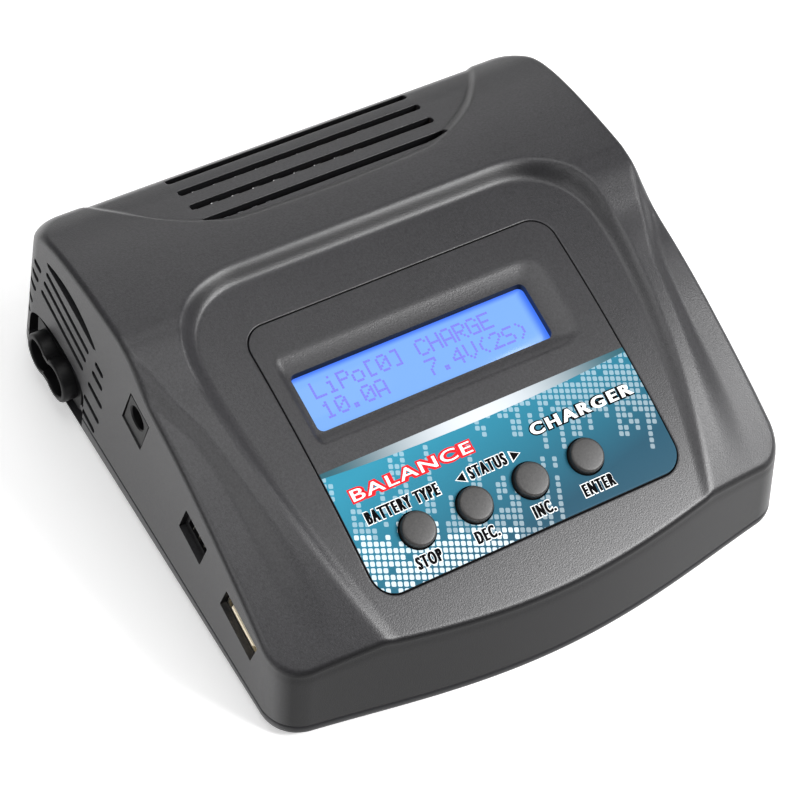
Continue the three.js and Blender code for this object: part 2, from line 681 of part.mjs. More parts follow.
// A figure of eight about the inlet's centre: two round lobes joined by a waist.
function lobedBar(radius, waist, from, to) {
  const lobes = [-INLET_LOBE_Y, INLET_LOBE_Y].map((y) => rod(radius, to - from, 'x', (from + to) / 2, y, 0, 20));
  const bridge = block(to - from, INLET_LOBE_Y + 1.2, waist, (from + to) / 2, 0, 0);
  return lobes[0].add(lobes[1]).add(bridge);
}

function makeInlet() {
  const stand = SIDE_REACH - CASE_WIDTH / 2;
  let inlet = block(16.8, INLET_WIDTH, INLET_HEIGHT, 9.6, 0, 0);
  inlet = inlet.add(lobedBar(5.7, 9, -stand, 4));
  inlet = inlet.subtract(lobedBar(4.2, 6.2, -stand - 1, 12));
  for (const pin of [-INLET_LOBE_Y, INLET_LOBE_Y]) {
    inlet = inlet.add(rod(1.2, 9, 'x', 8.5, pin, 0, 12));
  }
  return inlet;
}

const inlet = addPiece('mains_inlet', makeInlet(), blackPlastic);
inlet.position.set(-CASE_WIDTH / 2, INLET_Y, INLET_Z);

// ---- Power supply board and its parts ----

const FLOOR_Z = BASE_Z + WALL;
const POWER_BOARD_Z = FLOOR_Z + 3.6;
const POWER_TOP = POWER_BOARD_Z + BOARD_THICK + GAP;
addPiece('power_board', block(94, 40, BOARD_THICK, 4, 39, POWER_BOARD_Z + BOARD_THICK / 2), boardGreen);

function makeTransformerCore() {
  const outer = block(28, 9, 26, 0, 0, 13);
  const windows = [-8, 8].map((x) => block(7, 20, 17, x, 0, 13));
  return outer.subtract(windows[0]).subtract(windows[1]);
}

const core = addPiece('transformer_core', makeTransformerCore(), ferrite);
core.position.set(14, 44, POWER_TOP);
const coil = block(22.4, 22, 15.6, 0, 0, 13).subtract(block(9.6, 9.6, 40, 0, 0, 13))
  .subtract(block(2.6, 9.6, 40, -10.4, 0, 13)).subtract(block(2.6, 9.6, 40, 10.4, 0, 13));
const winding = addPiece('transformer_winding', coil, copperWire);
winding.position.copy(core.position);

const toroid = turned([
  [4, 0.5], [4.5, 0], [9.5, 0], [10, 0.5], [10, 7.5], [9.5, 8], [4.5, 8], [4, 7.5], [4, 0.5],
], 20);
const inductor = addPiece('charge_inductor', toroid, copperWire);
inductor.position.set(-22, 30, POWER_TOP);

for (const [name, y] of [['mains_capacitor_front', 38], ['mains_capacitor_rear', 52]]) {
  const can = turned([[0, 0], [6.2, 0], [6.2, 23], [5.8, 23.6], [0, 23.6]], 20);
  const capacitor = addPiece(name, can, blackPlastic);
  capacitor.position.set(40, y, POWER_TOP);
}

function makeHeatSink() {
  const shape = new THREE.Shape();
  const fins = 7;
  const pitch = 4;
  shape.moveTo(0, 0);
  for (let i = 0; i < fins; i += 1) {
    const u = i * pitch;
    shape.lineTo(u, 12);
    shape.lineTo(u + 1.4, 12);
    shape.lineTo(u + 1.4, i === fins - 1 ? 0 : 3);
    if (i < fins - 1) shape.lineTo(u + pitch, 3);
  }
  shape.closePath();
  return extruded(shape, 0, 22);
}

const heatSink = addPiece('heat_sink', makeHeatSink(), aluminium);
heatSink.position.set(-34, 46, POWER_TOP);

// ---- Fan, behind the side vents ----

const BORE_RADIUS = 11.8;
const HUB_RADIUS = 5;

function makeFanFrame() {
  let frame = block(FAN_THICK, FAN_SIZE, FAN_SIZE).subtract(rod(BORE_RADIUS, 20, 'x', 0, 0, 0, 32));
  const plateX = FAN_THICK / 2 - 0.7;
  frame = frame.add(rod(HUB_RADIUS, 1.4, 'x', plateX, 0, 0, 20));
  for (let i = 0; i < 3; i += 1) {
    const arm = solidOf(new THREE.BoxGeometry(1.4, 1.6, BORE_RADIUS)
      .translate(plateX, 0, BORE_RADIUS / 2 + 0.4).rotateX(i * 2 * Math.PI / 3));
    frame = frame.add(arm);
  }
  for (const y of [-10, 10]) {
    for (const z of [-10, 10]) {
      frame = frame.subtract(rod(1.4, 20, 'x', 0, y, z, 10));
    }
  }
  return frame;
}

function makeFanRotor() {
  const hubLength = 7.4;
  const hubX = -0.8;
  let rotor = rod(HUB_RADIUS, hubLength, 'x', hubX, 0, 0, 20);
  for (let i = 0; i < BLADE_COUNT; i += 1) {
    const blade = solidOf(new THREE.BoxGeometry(0.8, 6.4, 6.8)
      .rotateZ(0.75).translate(hubX, 0, HUB_RADIUS + 2.6).rotateX(i * 2 * Math.PI / BLADE_COUNT));
    rotor = rotor.add(blade);
  }
  return rotor;
}

const fan = new THREE.Group();
fan.position.set(FAN_X, FAN_Y, FAN_Z);
group.add(fan);
addPiece('fan_frame', makeFanFrame(), blackPlastic, fan);
addPiece('fan_rotor', makeFanRotor(), blackPlastic, fan);

// ---- Screws and feet ----

SCREW_PLACES.forEach(([x, y], i) => {
  const head = turned([
    [0, 0], [2.8, 0], [2.9, 0.3], [2.9, 1.4], [1.25, 1.8], [1.25, 10], [0, 11],
  ], 14);
  const drive = block(3.2, 0.7, 1.4).add(block(0.7, 3.2, 1.4));
  const screw = addPiece(`case_screw_${i + 1}`, solidOf(head).subtract(drive), tinPlate);
  screw.position.set(x, y, BASE_Z + 0.1);
});

FOOT_PLACES.forEach(([x, y], i) => {
  const foot = addPiece(`foot_${i + 1}`, turned([
    [0, 0], [FOOT_RADIUS - 0.8, 0], [FOOT_RADIUS - 0.2, 0.3], [FOOT_RADIUS, 0.9], [FOOT_RADIUS, 2.5], [0, 2.5],
  ]), footRubber);
  foot.position.set(x, y, 0);
});

export default group;
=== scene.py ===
"""Looks of the balance battery charger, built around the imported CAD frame.

Design lengths are in millimetres, in the frame's axes: +X right, +Y back, +Z up.
"""
import math

import bpy
import numpy as np
from mathutils import Matrix, Vector


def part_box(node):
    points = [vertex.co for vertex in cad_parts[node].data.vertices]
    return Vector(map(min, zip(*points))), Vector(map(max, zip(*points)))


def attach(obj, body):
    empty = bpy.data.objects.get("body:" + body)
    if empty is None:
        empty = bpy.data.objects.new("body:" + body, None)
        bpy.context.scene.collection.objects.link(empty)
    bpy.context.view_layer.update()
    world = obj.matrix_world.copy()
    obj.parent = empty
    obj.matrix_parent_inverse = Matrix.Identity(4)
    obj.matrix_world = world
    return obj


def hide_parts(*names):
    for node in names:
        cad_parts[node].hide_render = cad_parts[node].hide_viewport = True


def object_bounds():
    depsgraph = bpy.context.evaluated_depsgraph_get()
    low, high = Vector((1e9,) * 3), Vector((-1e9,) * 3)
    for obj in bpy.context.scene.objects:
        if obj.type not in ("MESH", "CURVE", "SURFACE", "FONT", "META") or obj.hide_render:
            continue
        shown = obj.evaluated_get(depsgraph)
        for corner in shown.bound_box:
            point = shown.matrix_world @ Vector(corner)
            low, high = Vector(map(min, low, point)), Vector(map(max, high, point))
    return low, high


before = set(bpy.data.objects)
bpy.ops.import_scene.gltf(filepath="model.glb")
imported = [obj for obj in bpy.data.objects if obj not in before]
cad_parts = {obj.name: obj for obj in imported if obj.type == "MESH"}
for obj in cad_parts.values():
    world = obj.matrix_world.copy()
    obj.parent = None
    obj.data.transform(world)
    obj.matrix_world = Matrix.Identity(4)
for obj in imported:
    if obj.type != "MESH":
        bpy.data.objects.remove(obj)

BOUNDS_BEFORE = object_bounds()
MM = 0.001


def middle_of(node):
    """Middle of a CAD node's box, in millimetres."""
    return np.mean(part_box(node), 0) / MM


# ---- Driving dimensions, in millimetres ----

DISPLAY_Y = -6.85
DISPLAY_Z = 42.4
FACE_SLOPE = 0.218
FACE_CURVE = 0.00182
WALL = 2.4
BASE_Z = 2.0
PARTING_Z = 5.7
PARTING_SLOPE = 0.021
PARTING_GAP = 0.15  # from the parting plane to each half of the case
PARTING_CHAMFER = 0.25

HALF_WIDTH = 72.0
HALF_WIDTH_TOP = 70.5
BACK_Y = 71.75
BACK_LEAN = 0.8
CASE_HEIGHT = 49.0
LEFT_X = -HALF_WIDTH
ABOVE = 90.0  # clear above everything

PANEL_HALF_WIDTH = 42.5
PANEL_FRONT_Y = DISPLAY_Y - 46.9
PANEL_BACK_Y = DISPLAY_Y + 22.6
PANEL_CORNER = 6.0
PANEL_GAP = 0.22
LABEL_BACK_Y = DISPLAY_Y - 16.0
LABEL_THICKNESS = 0.12

WINDOW = (-36.7, 28.2, -6.7, 8.6)  # left, right, front, back, from the display's centre
BEZEL = (-38.9, 34.6, -10.0, 13.3)
BEZEL_DEPTH = 1.05

KEYS = ["key_stop", "key_decrease", "key_increase", "key_enter"]
KEY_Y = DISPLAY_Y - 35.8
KEY_PITCH = 15.54
KEY_FIRST_X = -26.9
KEY_RADIUS = 4.32
KEY_HOLE = 4.75

TOP_SLOTS_Y = [DISPLAY_Y + behind for behind in (55.0, 61.05, 67.1, 73.2)]
TOP_SLOT_LENGTH = 68.5
TOP_SLOT_WIDTH = 2.1

# Ports in the left wall: place up the face and square to it, then length and height.
JACK = (16.1, -12.1, 9.6, 12.4)
SENSOR = (-14.4, -14.1, 10.6, 9.0)
USB = (-37.6, -14.7, 15.2, 7.6)
_, INLET_Y, INLET_Z = middle_of("mains_inlet")
FEET = [middle_of(f"foot_{k}")[:2] for k in (1, 2, 3, 4)]
SCREWS = [middle_of(f"case_screw_{k}")[:2] for k in (1, 2, 3, 4)]


# ---- Surfaces ----

def face_rise(run):
    """Height of the face over the display's centre, at a distance behind it."""
    return FACE_SLOPE * run - FACE_CURVE * run * run


def face_z(x, y):
    return DISPLAY_Z + face_rise(y - DISPLAY_Y)


def smooth_step(low, high, value):
    t = np.clip((value - low) / (high - low), 0, 1)
    return t * t * (3 - 2 * t)


def smooth_curve(points, at):
    """Monotone piecewise cubic through the given points."""
    places, heights = np.transpose(points)
    step = np.diff(places)
    slope = np.diff(heights) / step
    tangent = np.empty(len(places))
    tangent[0], tangent[-1] = slope[0], slope[-1]
    inner = slope[:-1] * slope[1:]
    mean = 2 * inner / np.where(inner > 0, slope[:-1] + slope[1:], 1)
    tangent[1:-1] = np.where(inner > 0, mean, 0)
    at = np.clip(at, places[0], places[-1])
    i = np.clip(np.searchsorted(places, at) - 1, 0, len(step) - 1)
    t = (at - places[i]) / step[i]
    h = step[i]
    return (
        heights[i] * (1 + 2 * t) * (1 - t) ** 2
        + tangent[i] * h * t * (1 - t) ** 2
        + heights[i + 1] * t * t * (3 - 2 * t)
        + tangent[i + 1] * h * t * t * (t - 1)
    )


# Each point of these curves starts with its distance behind the display's centre.
# Side view of the cover along its side edge: height over the display's centre.
EDGE = [
    (-66.0, -28.8), (-41.6, -16.3), (-29.0, -10.9), (-18.0, -6.7), (-7.0, -2.9), (3.0, -0.05),
    (13.0, 2.4), (19.5, 5.2), (26.4, 8.2), (31.0, 8.9), (38.3, 8.7), (48.2, 7.9), (58.4, 6.3),
    (67.0, 3.7), (73.0, 0.9), (79.0, -2.9),
]
# The shoulder beside the arch: its height over the face in front, and over the side edge behind.
OVER_FACE = [
    (-66.0, 0.0), (-58.0, 0.25), (-50.0, 0.7), (-40.0, 1.1), (-28.0, 1.4), (-15.0, 1.6),
    (0.0, 1.8), (8.0, 2.1), (14.0, 2.5),
]
OVER_EDGE = [(0.0, 2.4), (8.0, 2.4), (13.0, 2.3), (20.0, 1.6), (28.0, 0.3), (40.0, 0.0)]
# The crease where the shoulder falls to its side edge; in front it turns into an even slope.
CREASE = [
    (-66.0, 55.0), (-44.0, 58.3), (-30.0, 59.6), (-15.0, 61.0), (0.0, 63.0), (12.0, 67.0),
    (20.0, 69.2), (28.0, 71.5), (40.0, 74.0),
]
# Half width of the arch at its foot.
ARCH_HALF = [
    (-70.0, 41.0), (-56.0, 44.5), (-43.0, 48.0), (-29.0, 51.2), (-15.0, 53.7), (-4.0, 55.3),
    (8.0, 56.4), (16.0, 56.6),
]
ARCH_BACK = 36.6
ARCH_CORNER = 22.0
ARCH_CORNER_POWER = 2.3
ARCH_RAMP = (-2.6, 2.1)
# The sunken field round the top slots: how far behind the display it starts at each half width,
# and its depth from there to the back.
FIELD_START = [
    (0.0, 50.4), (26.0, 51.5), (35.0, 55.0), (43.0, 60.0), (48.0, 65.0), (52.0, 70.0), (55.0, 75.0),
    (57.0, 80.0),
]
FIELD_DEPTH = [(48.0, 1.7), (52.0, 2.1), (56.0, 2.2), (61.0, 2.1), (67.0, 1.4), (73.0, 1.0), (79.0, 0.7)]
FIELD_RAMP = (-2.0, 2.2)


def arch_distance(x, run):
    """Signed distance-like measure to the arch's edge: negative inside."""
    beyond_side = np.abs(x) - smooth_curve(ARCH_HALF, run)
    beyond_back = run - ARCH_BACK
    u = np.clip(beyond_side + ARCH_CORNER, 0, None)
    v = np.clip(beyond_back + ARCH_CORNER, 0, None)
    power = ARCH_CORNER_POWER
    corner = (u ** power + v ** power) ** (1 / power) - ARCH_CORNER
    return np.where((u > 0) & (v > 0), corner, np.maximum(beyond_side, beyond_back))


def shoulder_rise(x, run, edge):
    """How far the shoulder stands above the cover's side edge."""
    beside_face = face_rise(run) + smooth_curve(OVER_FACE, run) - edge
    behind = smooth_curve(OVER_EDGE, run)
    to_back = smooth_step(0, 14, run)
    rise = beside_face + (behind - beside_face) * to_back
    half = smooth_curve(ARCH_HALF, run)
    even = np.clip((np.abs(x) - half) / (HALF_WIDTH_TOP - half), 0, 1)
    softness = 2.4 + 1.8 * smooth_step(-5, -40, run)
    folded = smooth_step(-1, 1, (np.abs(x) - smooth_curve(CREASE, run)) / softness)
    share = 0.5 * smooth_step(-54, -16, run) + 0.5 * to_back
    return rise * (1 - even - (folded - even) * share)


def cover_z(x, y):
    """Height of the cover's top, before its edges are rounded."""
    run = y - DISPLAY_Y
    edge = smooth_curve(EDGE, run)
    outside = DISPLAY_Z + edge + shoulder_rise(x, run, edge)
    in_field = smooth_step(*FIELD_RAMP, run - smooth_curve(FIELD_START, np.abs(x)))
    outside = outside - smooth_curve(FIELD_DEPTH, run) * in_field
    inside = face_z(x, y)
    return inside + (outside - inside) * smooth_step(*ARCH_RAMP, arch_distance(x, run))


# The front wall's bow: place of its middle, then a square and a fourth-power term.
FRONT_FOOT = (-64.88, 13.07, -4.25)
FRONT_TOP = (-59.98, 12.01, -3.94)
FRONT_TOP_HEIGHT = 20.6
BOW_HALF_WIDTH = 70.0


def front_y(x, z):
    """Front wall: it bows out in plan and leans back."""
    u = np.abs(x) / BOW_HALF_WIDTH
    foot, top = [DISPLAY_Y + a + b * u ** 2 + c * u ** 4 for a, b, c in (FRONT_FOOT, FRONT_TOP)]
    return foot + (top - foot) * (z - BASE_Z) / FRONT_TOP_HEIGHT


def side_x(z):
    return HALF_WIDTH - (HALF_WIDTH - HALF_WIDTH_TOP) * (z - BASE_Z) / CASE_HEIGHT


def back_y(z):
    return BACK_Y - BACK_LEAN * (z - BASE_Z) / CASE_HEIGHT


def bezier(a, b, c, d, t):
    s = 1 - t
    return s ** 3 * a + 3 * s * s * t * b + 3 * s * t * t * c + t ** 3 * d


# Samples along half the outline: front, front corner, side, back corner, back.
OUTLINE_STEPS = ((130, 44, 150, 44, 121))
HALF_COUNT = sum(OUTLINE_STEPS)
RING_COUNT = 2 * HALF_COUNT - 2
FRONT_CORNER = (8.5, 9.5)  # across and back
BACK_CORNER = 9.0


def outline(height):
    """Plan outline, anticlockwise from the middle of the front, at a height for each sample."""
    heights = np.broadcast_to(height, (RING_COUNT,))[:HALF_COUNT]
    front, corner, side, turn, back = np.split(heights, np.cumsum(OUTLINE_STEPS)[:-1])
    across, along = FRONT_CORNER
    radius = BACK_CORNER

    def share(stretch):
        return np.arange(len(stretch)) / len(stretch)

    x = (side_x(front) - across) * share(front)
    parts = [(x, front_y(x, front))]

    x1 = side_x(corner)
    x0 = x1 - across
    y0 = front_y(x0, corner)
    slope = (y0 - front_y(x0 - 0.5, corner)) / 0.5
    reach = across * 0.58
    t = share(corner)
    y = bezier(y0, y0 + reach * slope, y0 + along * 0.45, y0 + along, t)
    parts.append((bezier(x0, x0 + reach, x1, x1, t), y))

    x = side_x(side)
    y0 = front_y(x - across, side) + along
    parts.append((x, y0 + (back_y(side) - radius - y0) * share(side)))

    angle = math.pi / 2 * share(turn)
    x = side_x(turn) - radius + radius * np.cos(angle)
    parts.append((x, back_y(turn) - radius + radius * np.sin(angle)))

    x = (side_x(back) - radius) * np.linspace(1, 0, len(back))
    parts.append((x, back_y(back)))

    right = np.vstack([np.column_stack(part) for part in parts])
    left = right[-2:0:-1] * (-1, 1)
    return np.vstack([right, left])


def normals_of(ring):
    along = np.roll(ring, -1, 0) - np.roll(ring, 1, 0)
    normal = np.stack([along[:, 1], -along[:, 0]], 1)
    return normal / np.linalg.norm(normal, axis=1)[:, None]


def pulled_in(ring, distance):
    return ring - normals_of(ring) * distance


# ---- Mesh helpers ----

def new_object(name, vertices, faces, material, sharp_angle=40):
    mesh = bpy.data.meshes.new(name)
    mesh.from_pydata(np.asarray(vertices, float).tolist(), [], faces)
    mesh.transform(Matrix.Scale(MM, 4))
    mesh.validate()
    made = bpy.data.objects.new(name, mesh)
    bpy.context.scene.collection.objects.link(made)
    finish_mesh(made, material, sharp_angle)
    return made


def finish_mesh(target, material, sharp_angle=40):
    mesh = target.data
    mesh.shade_smooth()
    mesh.set_sharp_from_angle(angle=math.radians(sharp_angle))
    mesh.materials.clear()
    if material is not None:
        mesh.materials.append(material)


def dress(piece, node=None, body="case"):
    """Rides a piece on its body and the CAD node that it stands for."""
    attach(piece, body)
    if node is not None:
        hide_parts(node)


def level(ring, height):
    return np.column_stack([ring, np.broadcast_to(height, (len(ring),))])


def ring_faces(rows, count, start=0):
    """Quads between successive closed rings."""
    i = np.arange(count)
    j = (i + 1) % count
    faces = []
    for row in range(rows - 1):
        a = start + row * count
        faces.append(np.stack([a + i, a + j, a + count + j, a + count + i], 1))
    return [tuple(f) for f in np.vstack(faces).tolist()]


def ring_solid(rings):
    """Closed solid from stacked rings of equal length, capped at both ends, lowest ring first."""
    count = len(rings[0])
    faces = ring_faces(len(rings), count)
    faces.append(tuple(range(count - 1, -1, -1)))
    faces.append(tuple(range((len(rings) - 1) * count, len(rings) * count)))
    return np.vstack(rings), faces


def prism(ring, low, high):
    return ring_solid([level(ring, low), level(ring, high)])


def join_solids(solids):
    vertices, faces, offset = [], [], 0
    for points, polygons in solids:
        vertices.append(np.asarray(points, float))
        faces += [tuple(k + offset for k in polygon) for polygon in polygons]
        offset += len(points)
    return np.vstack(vertices), faces


def boolean(target, solids, operation="DIFFERENCE"):
    """Cuts, joins or intersects with a list of closed solids."""
    tool = new_object("tool", *join_solids(solids), None)
    modifier = target.modifiers.new("cut", "BOOLEAN")
    modifier.object = tool
    modifier.operation = operation
    modifier.solver = "MANIFOLD"
    depsgraph = bpy.context.evaluated_depsgraph_get()
    made = bpy.data.meshes.new_from_object(target.evaluated_get(depsgraph))
    target.modifiers.clear()
    old = target.data
    target.data = made
    bpy.data.meshes.remove(old)
    bpy.data.objects.remove(tool)


def rounded_rectangle(left, right, front, back, radius, steps=8, spacing=2.0):
    """Ring of points, anticlockwise from the front right corner."""
    corners = [
        (right - radius, front + radius, -90), (right - radius, back - radius, 0),
        (left + radius, back - radius, 90), (left + radius, front + radius, 180),
    ]

    def at(corner, share):
        x, y, start = corner
        angle = math.radians(start + 90 * share)
        return np.array((x + radius * math.cos(angle), y + radius * math.sin(angle)))

    points = []
    for corner, following in zip(corners, corners[1:] + corners[:1]):
        points += [at(corner, s / steps) for s in range(steps + 1)]
        here, end = points[-1], at(following, 0)
        pieces = int(math.hypot(*(end - here)) / spacing)
        points += [here + (end - here) * s / pieces for s in range(1, pieces)]
    return np.array(points)


def rectangle_at(x, y, length, height, *rounding):
    """Rounded rectangle round its middle."""
    return rounded_rectangle(x - length / 2, x + length / 2, y - height / 2, y + height / 2, *rounding)


def circle(radius, x=0.0, y=0.0, count=40):
    angle = np.arange(count) * 2 * math.pi / count
    return np.stack([x + radius * np.cos(angle), y + radius * np.sin(angle)], 1)


def rim_solid(shape, surface, bottom, lip, way, reach, rise):
    """Solid with a rounded rim at a surface: it flares out where way is 1 and draws in where it is -1.

    shape(offset) gives the ring and surface(x, y) its height. The last step is reach out and rise up.
    """
    steps = [(0.0, bottom)]
    for k in range(6):
        angle = math.pi / 2 * k / 5
        steps.append((way * lip * (1 - math.cos(angle)), -lip * (1 - math.sin(angle))))
    steps.append((way * (lip + reach), rise))
    rings = []
    for offset, height in steps:
        ring = shape(offset)
        rings.append(level(ring, surface(*ring.T) + height))
    rings.append(level(shape(way * (lip + reach)), ABOVE))
    return ring_solid(rings)


def lip_cutter(shape, surface, bottom, lip, flare):
    """Cutter for an opening with a rounded lip."""
    return rim_solid(shape, surface, bottom, lip, 1, flare, 0.12)


def outline_post(shape, surface, lip):
    """Solid that gives what it meets a rounded rim."""
    return rim_solid(shape, surface, -6.0, lip, -1, 0.05, 20.0)


def lathe(profile, count=48):
    """Solid of revolution about Z. The profile runs from the axis at the bottom to the axis at the top."""
    inner = profile[1:-1]
    rings = [level(circle(radius, 0, 0, count), z) for radius, z in inner]
    vertices = np.vstack([[(0, 0, profile[0][1])], *rings, [(0, 0, profile[-1][1])]])
    faces = ring_faces(len(inner), count, 1)
    last = 1 + (len(inner) - 1) * count
    for i in range(count):
        j = (i + 1) % count
        faces.append((0, 1 + j, 1 + i))
        faces.append((len(vertices) - 1, last + i, last + j))
    return vertices, faces


def moved(solid, matrix):
    vertices, faces = solid
    return vertices @ np.array(matrix.to_3x3()).T + np.array(matrix.translation), faces


def face_matrix(y):
    """Frame on the sloping face: +Y runs up the face and +Z stands square to it."""
    tilt = math.atan(FACE_SLOPE - 2 * FACE_CURVE * (y - DISPLAY_Y))
    return Matrix.Translation((0, y, face_z(0, y))) @ Matrix.Rotation(tilt, 4, "X")


SLOPE = face_matrix(DISPLAY_Y)


def on_slope(ring):
    """(y, z) places of (up the face, square to it) pairs."""
    (points, _) = moved((np.column_stack([np.zeros(len(ring)), ring]), []), SLOPE)
    return points[:, 1:]


def wall_solid(sections):
    """Solid along X from (x, ring) sections, each ring holding (y, z) pairs."""
    return ring_solid([np.column_stack([np.full(len(ring), x), ring]) for x, ring in sections])


def round_bar(sections, y, z, count):
    """Round solid along X from (x, radius) sections."""
    return wall_solid([(x, circle(radius, y, z, count)) for x, radius in sections])


def slope_block(along, depth, length, height, sections, corner=0.3):
    """Block along X, square to the sloping face, from (x, inset) sections."""
    rings = []
    for x, inset in sections:
        ring = rectangle_at(along, depth, length - 2 * inset, height - 2 * inset, corner, 4, 30)
        rings.append((x, on_slope(ring)))
    return wall_solid(rings)


# ---- Materials ----

class Shader:
    """One node material in the making. Values are constants or outputs of other nodes."""

    def __init__(self, name):
        self.material = bpy.data.materials.new(name)
        self.material.use_nodes = True
        self.tree = self.material.node_tree
        self.surface = self.tree.nodes["Principled BSDF"]

    def node(self, kind, **settings):
        made = self.tree.nodes.new("ShaderNode" + kind)
        for setting, value in settings.items():
            setattr(made, setting, value)
        return made

    def feed(self, socket, value):
        if isinstance(value, bpy.types.NodeSocket):
            self.tree.links.new(value, socket)
        elif socket.type == "RGBA":
            socket.default_value = (*value, 1)
        else:
            socket.default_value = value

    def set(self, name, value):
        self.feed(self.surface.inputs[name], value)

    def axes(self, kind="Object"):
        split = self.node("SeparateXYZ")
        self.feed(split.inputs[0], self.node("TexCoord").outputs[kind])
        return split.outputs

    def noise(self, scale, detail=2.0, roughness=0.5):
        """Noise with a scale per metre, the same or one for each axis."""
        mapping = self.node("Mapping")
        mapping.inputs["Scale"].default_value = scale if hasattr(scale, "__len__") else (scale,) * 3
        self.feed(mapping.inputs["Vector"], self.node("TexCoord").outputs["Object"])
        noise = self.node("TexNoise")
        for name, value in (("Scale", 1.0), ("Detail", detail), ("Roughness", roughness)):
            noise.inputs[name].default_value = value
        self.feed(noise.inputs["Vector"], mapping.outputs["Vector"])
        return noise.outputs["Fac"]

    def mix(self, factor, first, second, way="MIX"):
        mix = self.node("Mix", data_type="RGBA", blend_type=way)
        for socket, value in ((0, factor), (6, first), (7, second)):
            self.feed(mix.inputs[socket], value)
        return mix.outputs[2]

    def ramp(self, value, low, high, to_low=0.0, to_high=1.0, interpolation="LINEAR"):
        ramp = self.node("MapRange", interpolation_type=interpolation)
        names = ("Value", "From Min", "From Max", "To Min", "To Max")
        for name, given in zip(names, (value, low, high, to_low, to_high)):
            self.feed(ramp.inputs[name], given)
        return ramp.outputs["Result"]

    def math(self, operation, first, *others):
        """The operation on one value, or on two or more from left to right."""
        for other in others or (None,):
            node = self.node("Math", operation=operation)
            self.feed(node.inputs[0], first)
            if other is not None:
                self.feed(node.inputs[1], other)
            first = node.outputs[0]
        return first

    def chance(self, value, dimensions, socket):
        """Random number for each whole value."""
        node = self.node("TexWhiteNoise", noise_dimensions=dimensions)
        self.feed(node.inputs[socket], value)
        return node.outputs["Value"]

    def bump(self, height, strength, distance):
        bump = self.node("Bump")
        for name, value in (("Strength", strength), ("Distance", distance), ("Height", height)):
            self.feed(bump.inputs[name], value)
        self.set("Normal", bump.outputs["Normal"])


def scaled(color, share):
    return [channel * share for channel in color]


def plastic(
        name, color, roughness, grain=2500.0, grain_depth=0.00004, grain_strength=0.5, mottling=0.12,
        painted_front_shade=None, specular=0.5, flecks=0.25):
    """Moulded plastic: fine grain in relief, with flecks and a faint unevenness of tone and gloss.

    With a painted front shade, faces turned to the front get painted shade: they are darker and less glossy
    than the rest.
    """
    shader = Shader(name)
    fine = shader.noise(grain, 3.0, 0.6)
    broad = shader.noise(60.0)
    tone = shader.mix(broad, scaled(color, 1 - mottling), scaled(color, 1 + mottling))
    speckle = shader.noise(grain * 0.6, 3.0, 0.7)
    fleck = shader.mix(speckle, [1 - flecks] * 3, [1 + flecks] * 3)
    tone = shader.mix(1.0, tone, fleck, "MULTIPLY")
    gloss = specular
    # Painted shade: faces turned to the front are given a darker colour and a lower specular level.
    if painted_front_shade is not None:
        turned = shader.ramp(shader.axes("Normal")["Y"], -0.45, -0.8)
        tone = shader.mix(turned, tone, scaled(color, painted_front_shade))
        gloss = shader.ramp(turned, 0.0, 1.0, specular, specular * painted_front_shade)
    shader.set("Specular IOR Level", gloss)
    shader.set("Base Color", tone)
    shader.set("Roughness", shader.ramp(fine, 0.0, 1.0, roughness - 0.05, roughness + 0.05))
    shader.bump(fine, grain_strength, grain_depth)
    return shader.material


def metal(name, color, roughness, stretch=(300.0, 4000.0, 4000.0)):
    shader = Shader(name)
    grain = shader.noise(stretch, 3.0)
    shader.set("Base Color", shader.mix(grain, scaled(color, 0.85), color))
    shader.set("Metallic", 1.0)
    shader.set("Roughness", roughness)
    shader.bump(grain, 0.2, 0.00002)
    return shader.material


def matt_color(name, color, roughness=0.4, emission=0.0, specular=0.06):
    """Ink, lit dots or the floor: one colour with a faint speckle."""
    shader = Shader(name)
    shader.set("Base Color", shader.mix(shader.noise(1500.0, 1.0), scaled(color, 0.96), color))
    shader.set("Roughness", roughness)
    shader.set("Specular IOR Level", specular)
    if emission:
        shader.set("Emission Color", color)
        shader.set("Emission Strength", emission)
    return shader.material


def board_material():
    """Green circuit board with raised tracks."""
    shader = Shader("circuit_board")
    tracks = shader.math("GREATER_THAN", shader.noise((260.0, 900.0, 900.0), 1.0), 0.53)
    shader.set("Base Color", shader.mix(tracks, (0.010, 0.085, 0.030), (0.018, 0.140, 0.050)))
    shader.set("Roughness", 0.35)
    shader.bump(tracks, 0.3, 0.00003)
    return shader.material


DOT_PITCH = 1.48
DOT_TURN = math.radians(-21)
DOT_HALF = 0.38  # of the pitch
LATTICE_START = 200.0  # rows and columns added, so that all are above zero
# Ends of the dot columns, from the display's centre along the tilted lattice.
WHITE_BACK = -45.2
WHITE_RIGHT = 11.0
RISING_RIGHT = 24.0
HANGING_FRONT = -26.5
HANGING_LEFT = -1.0


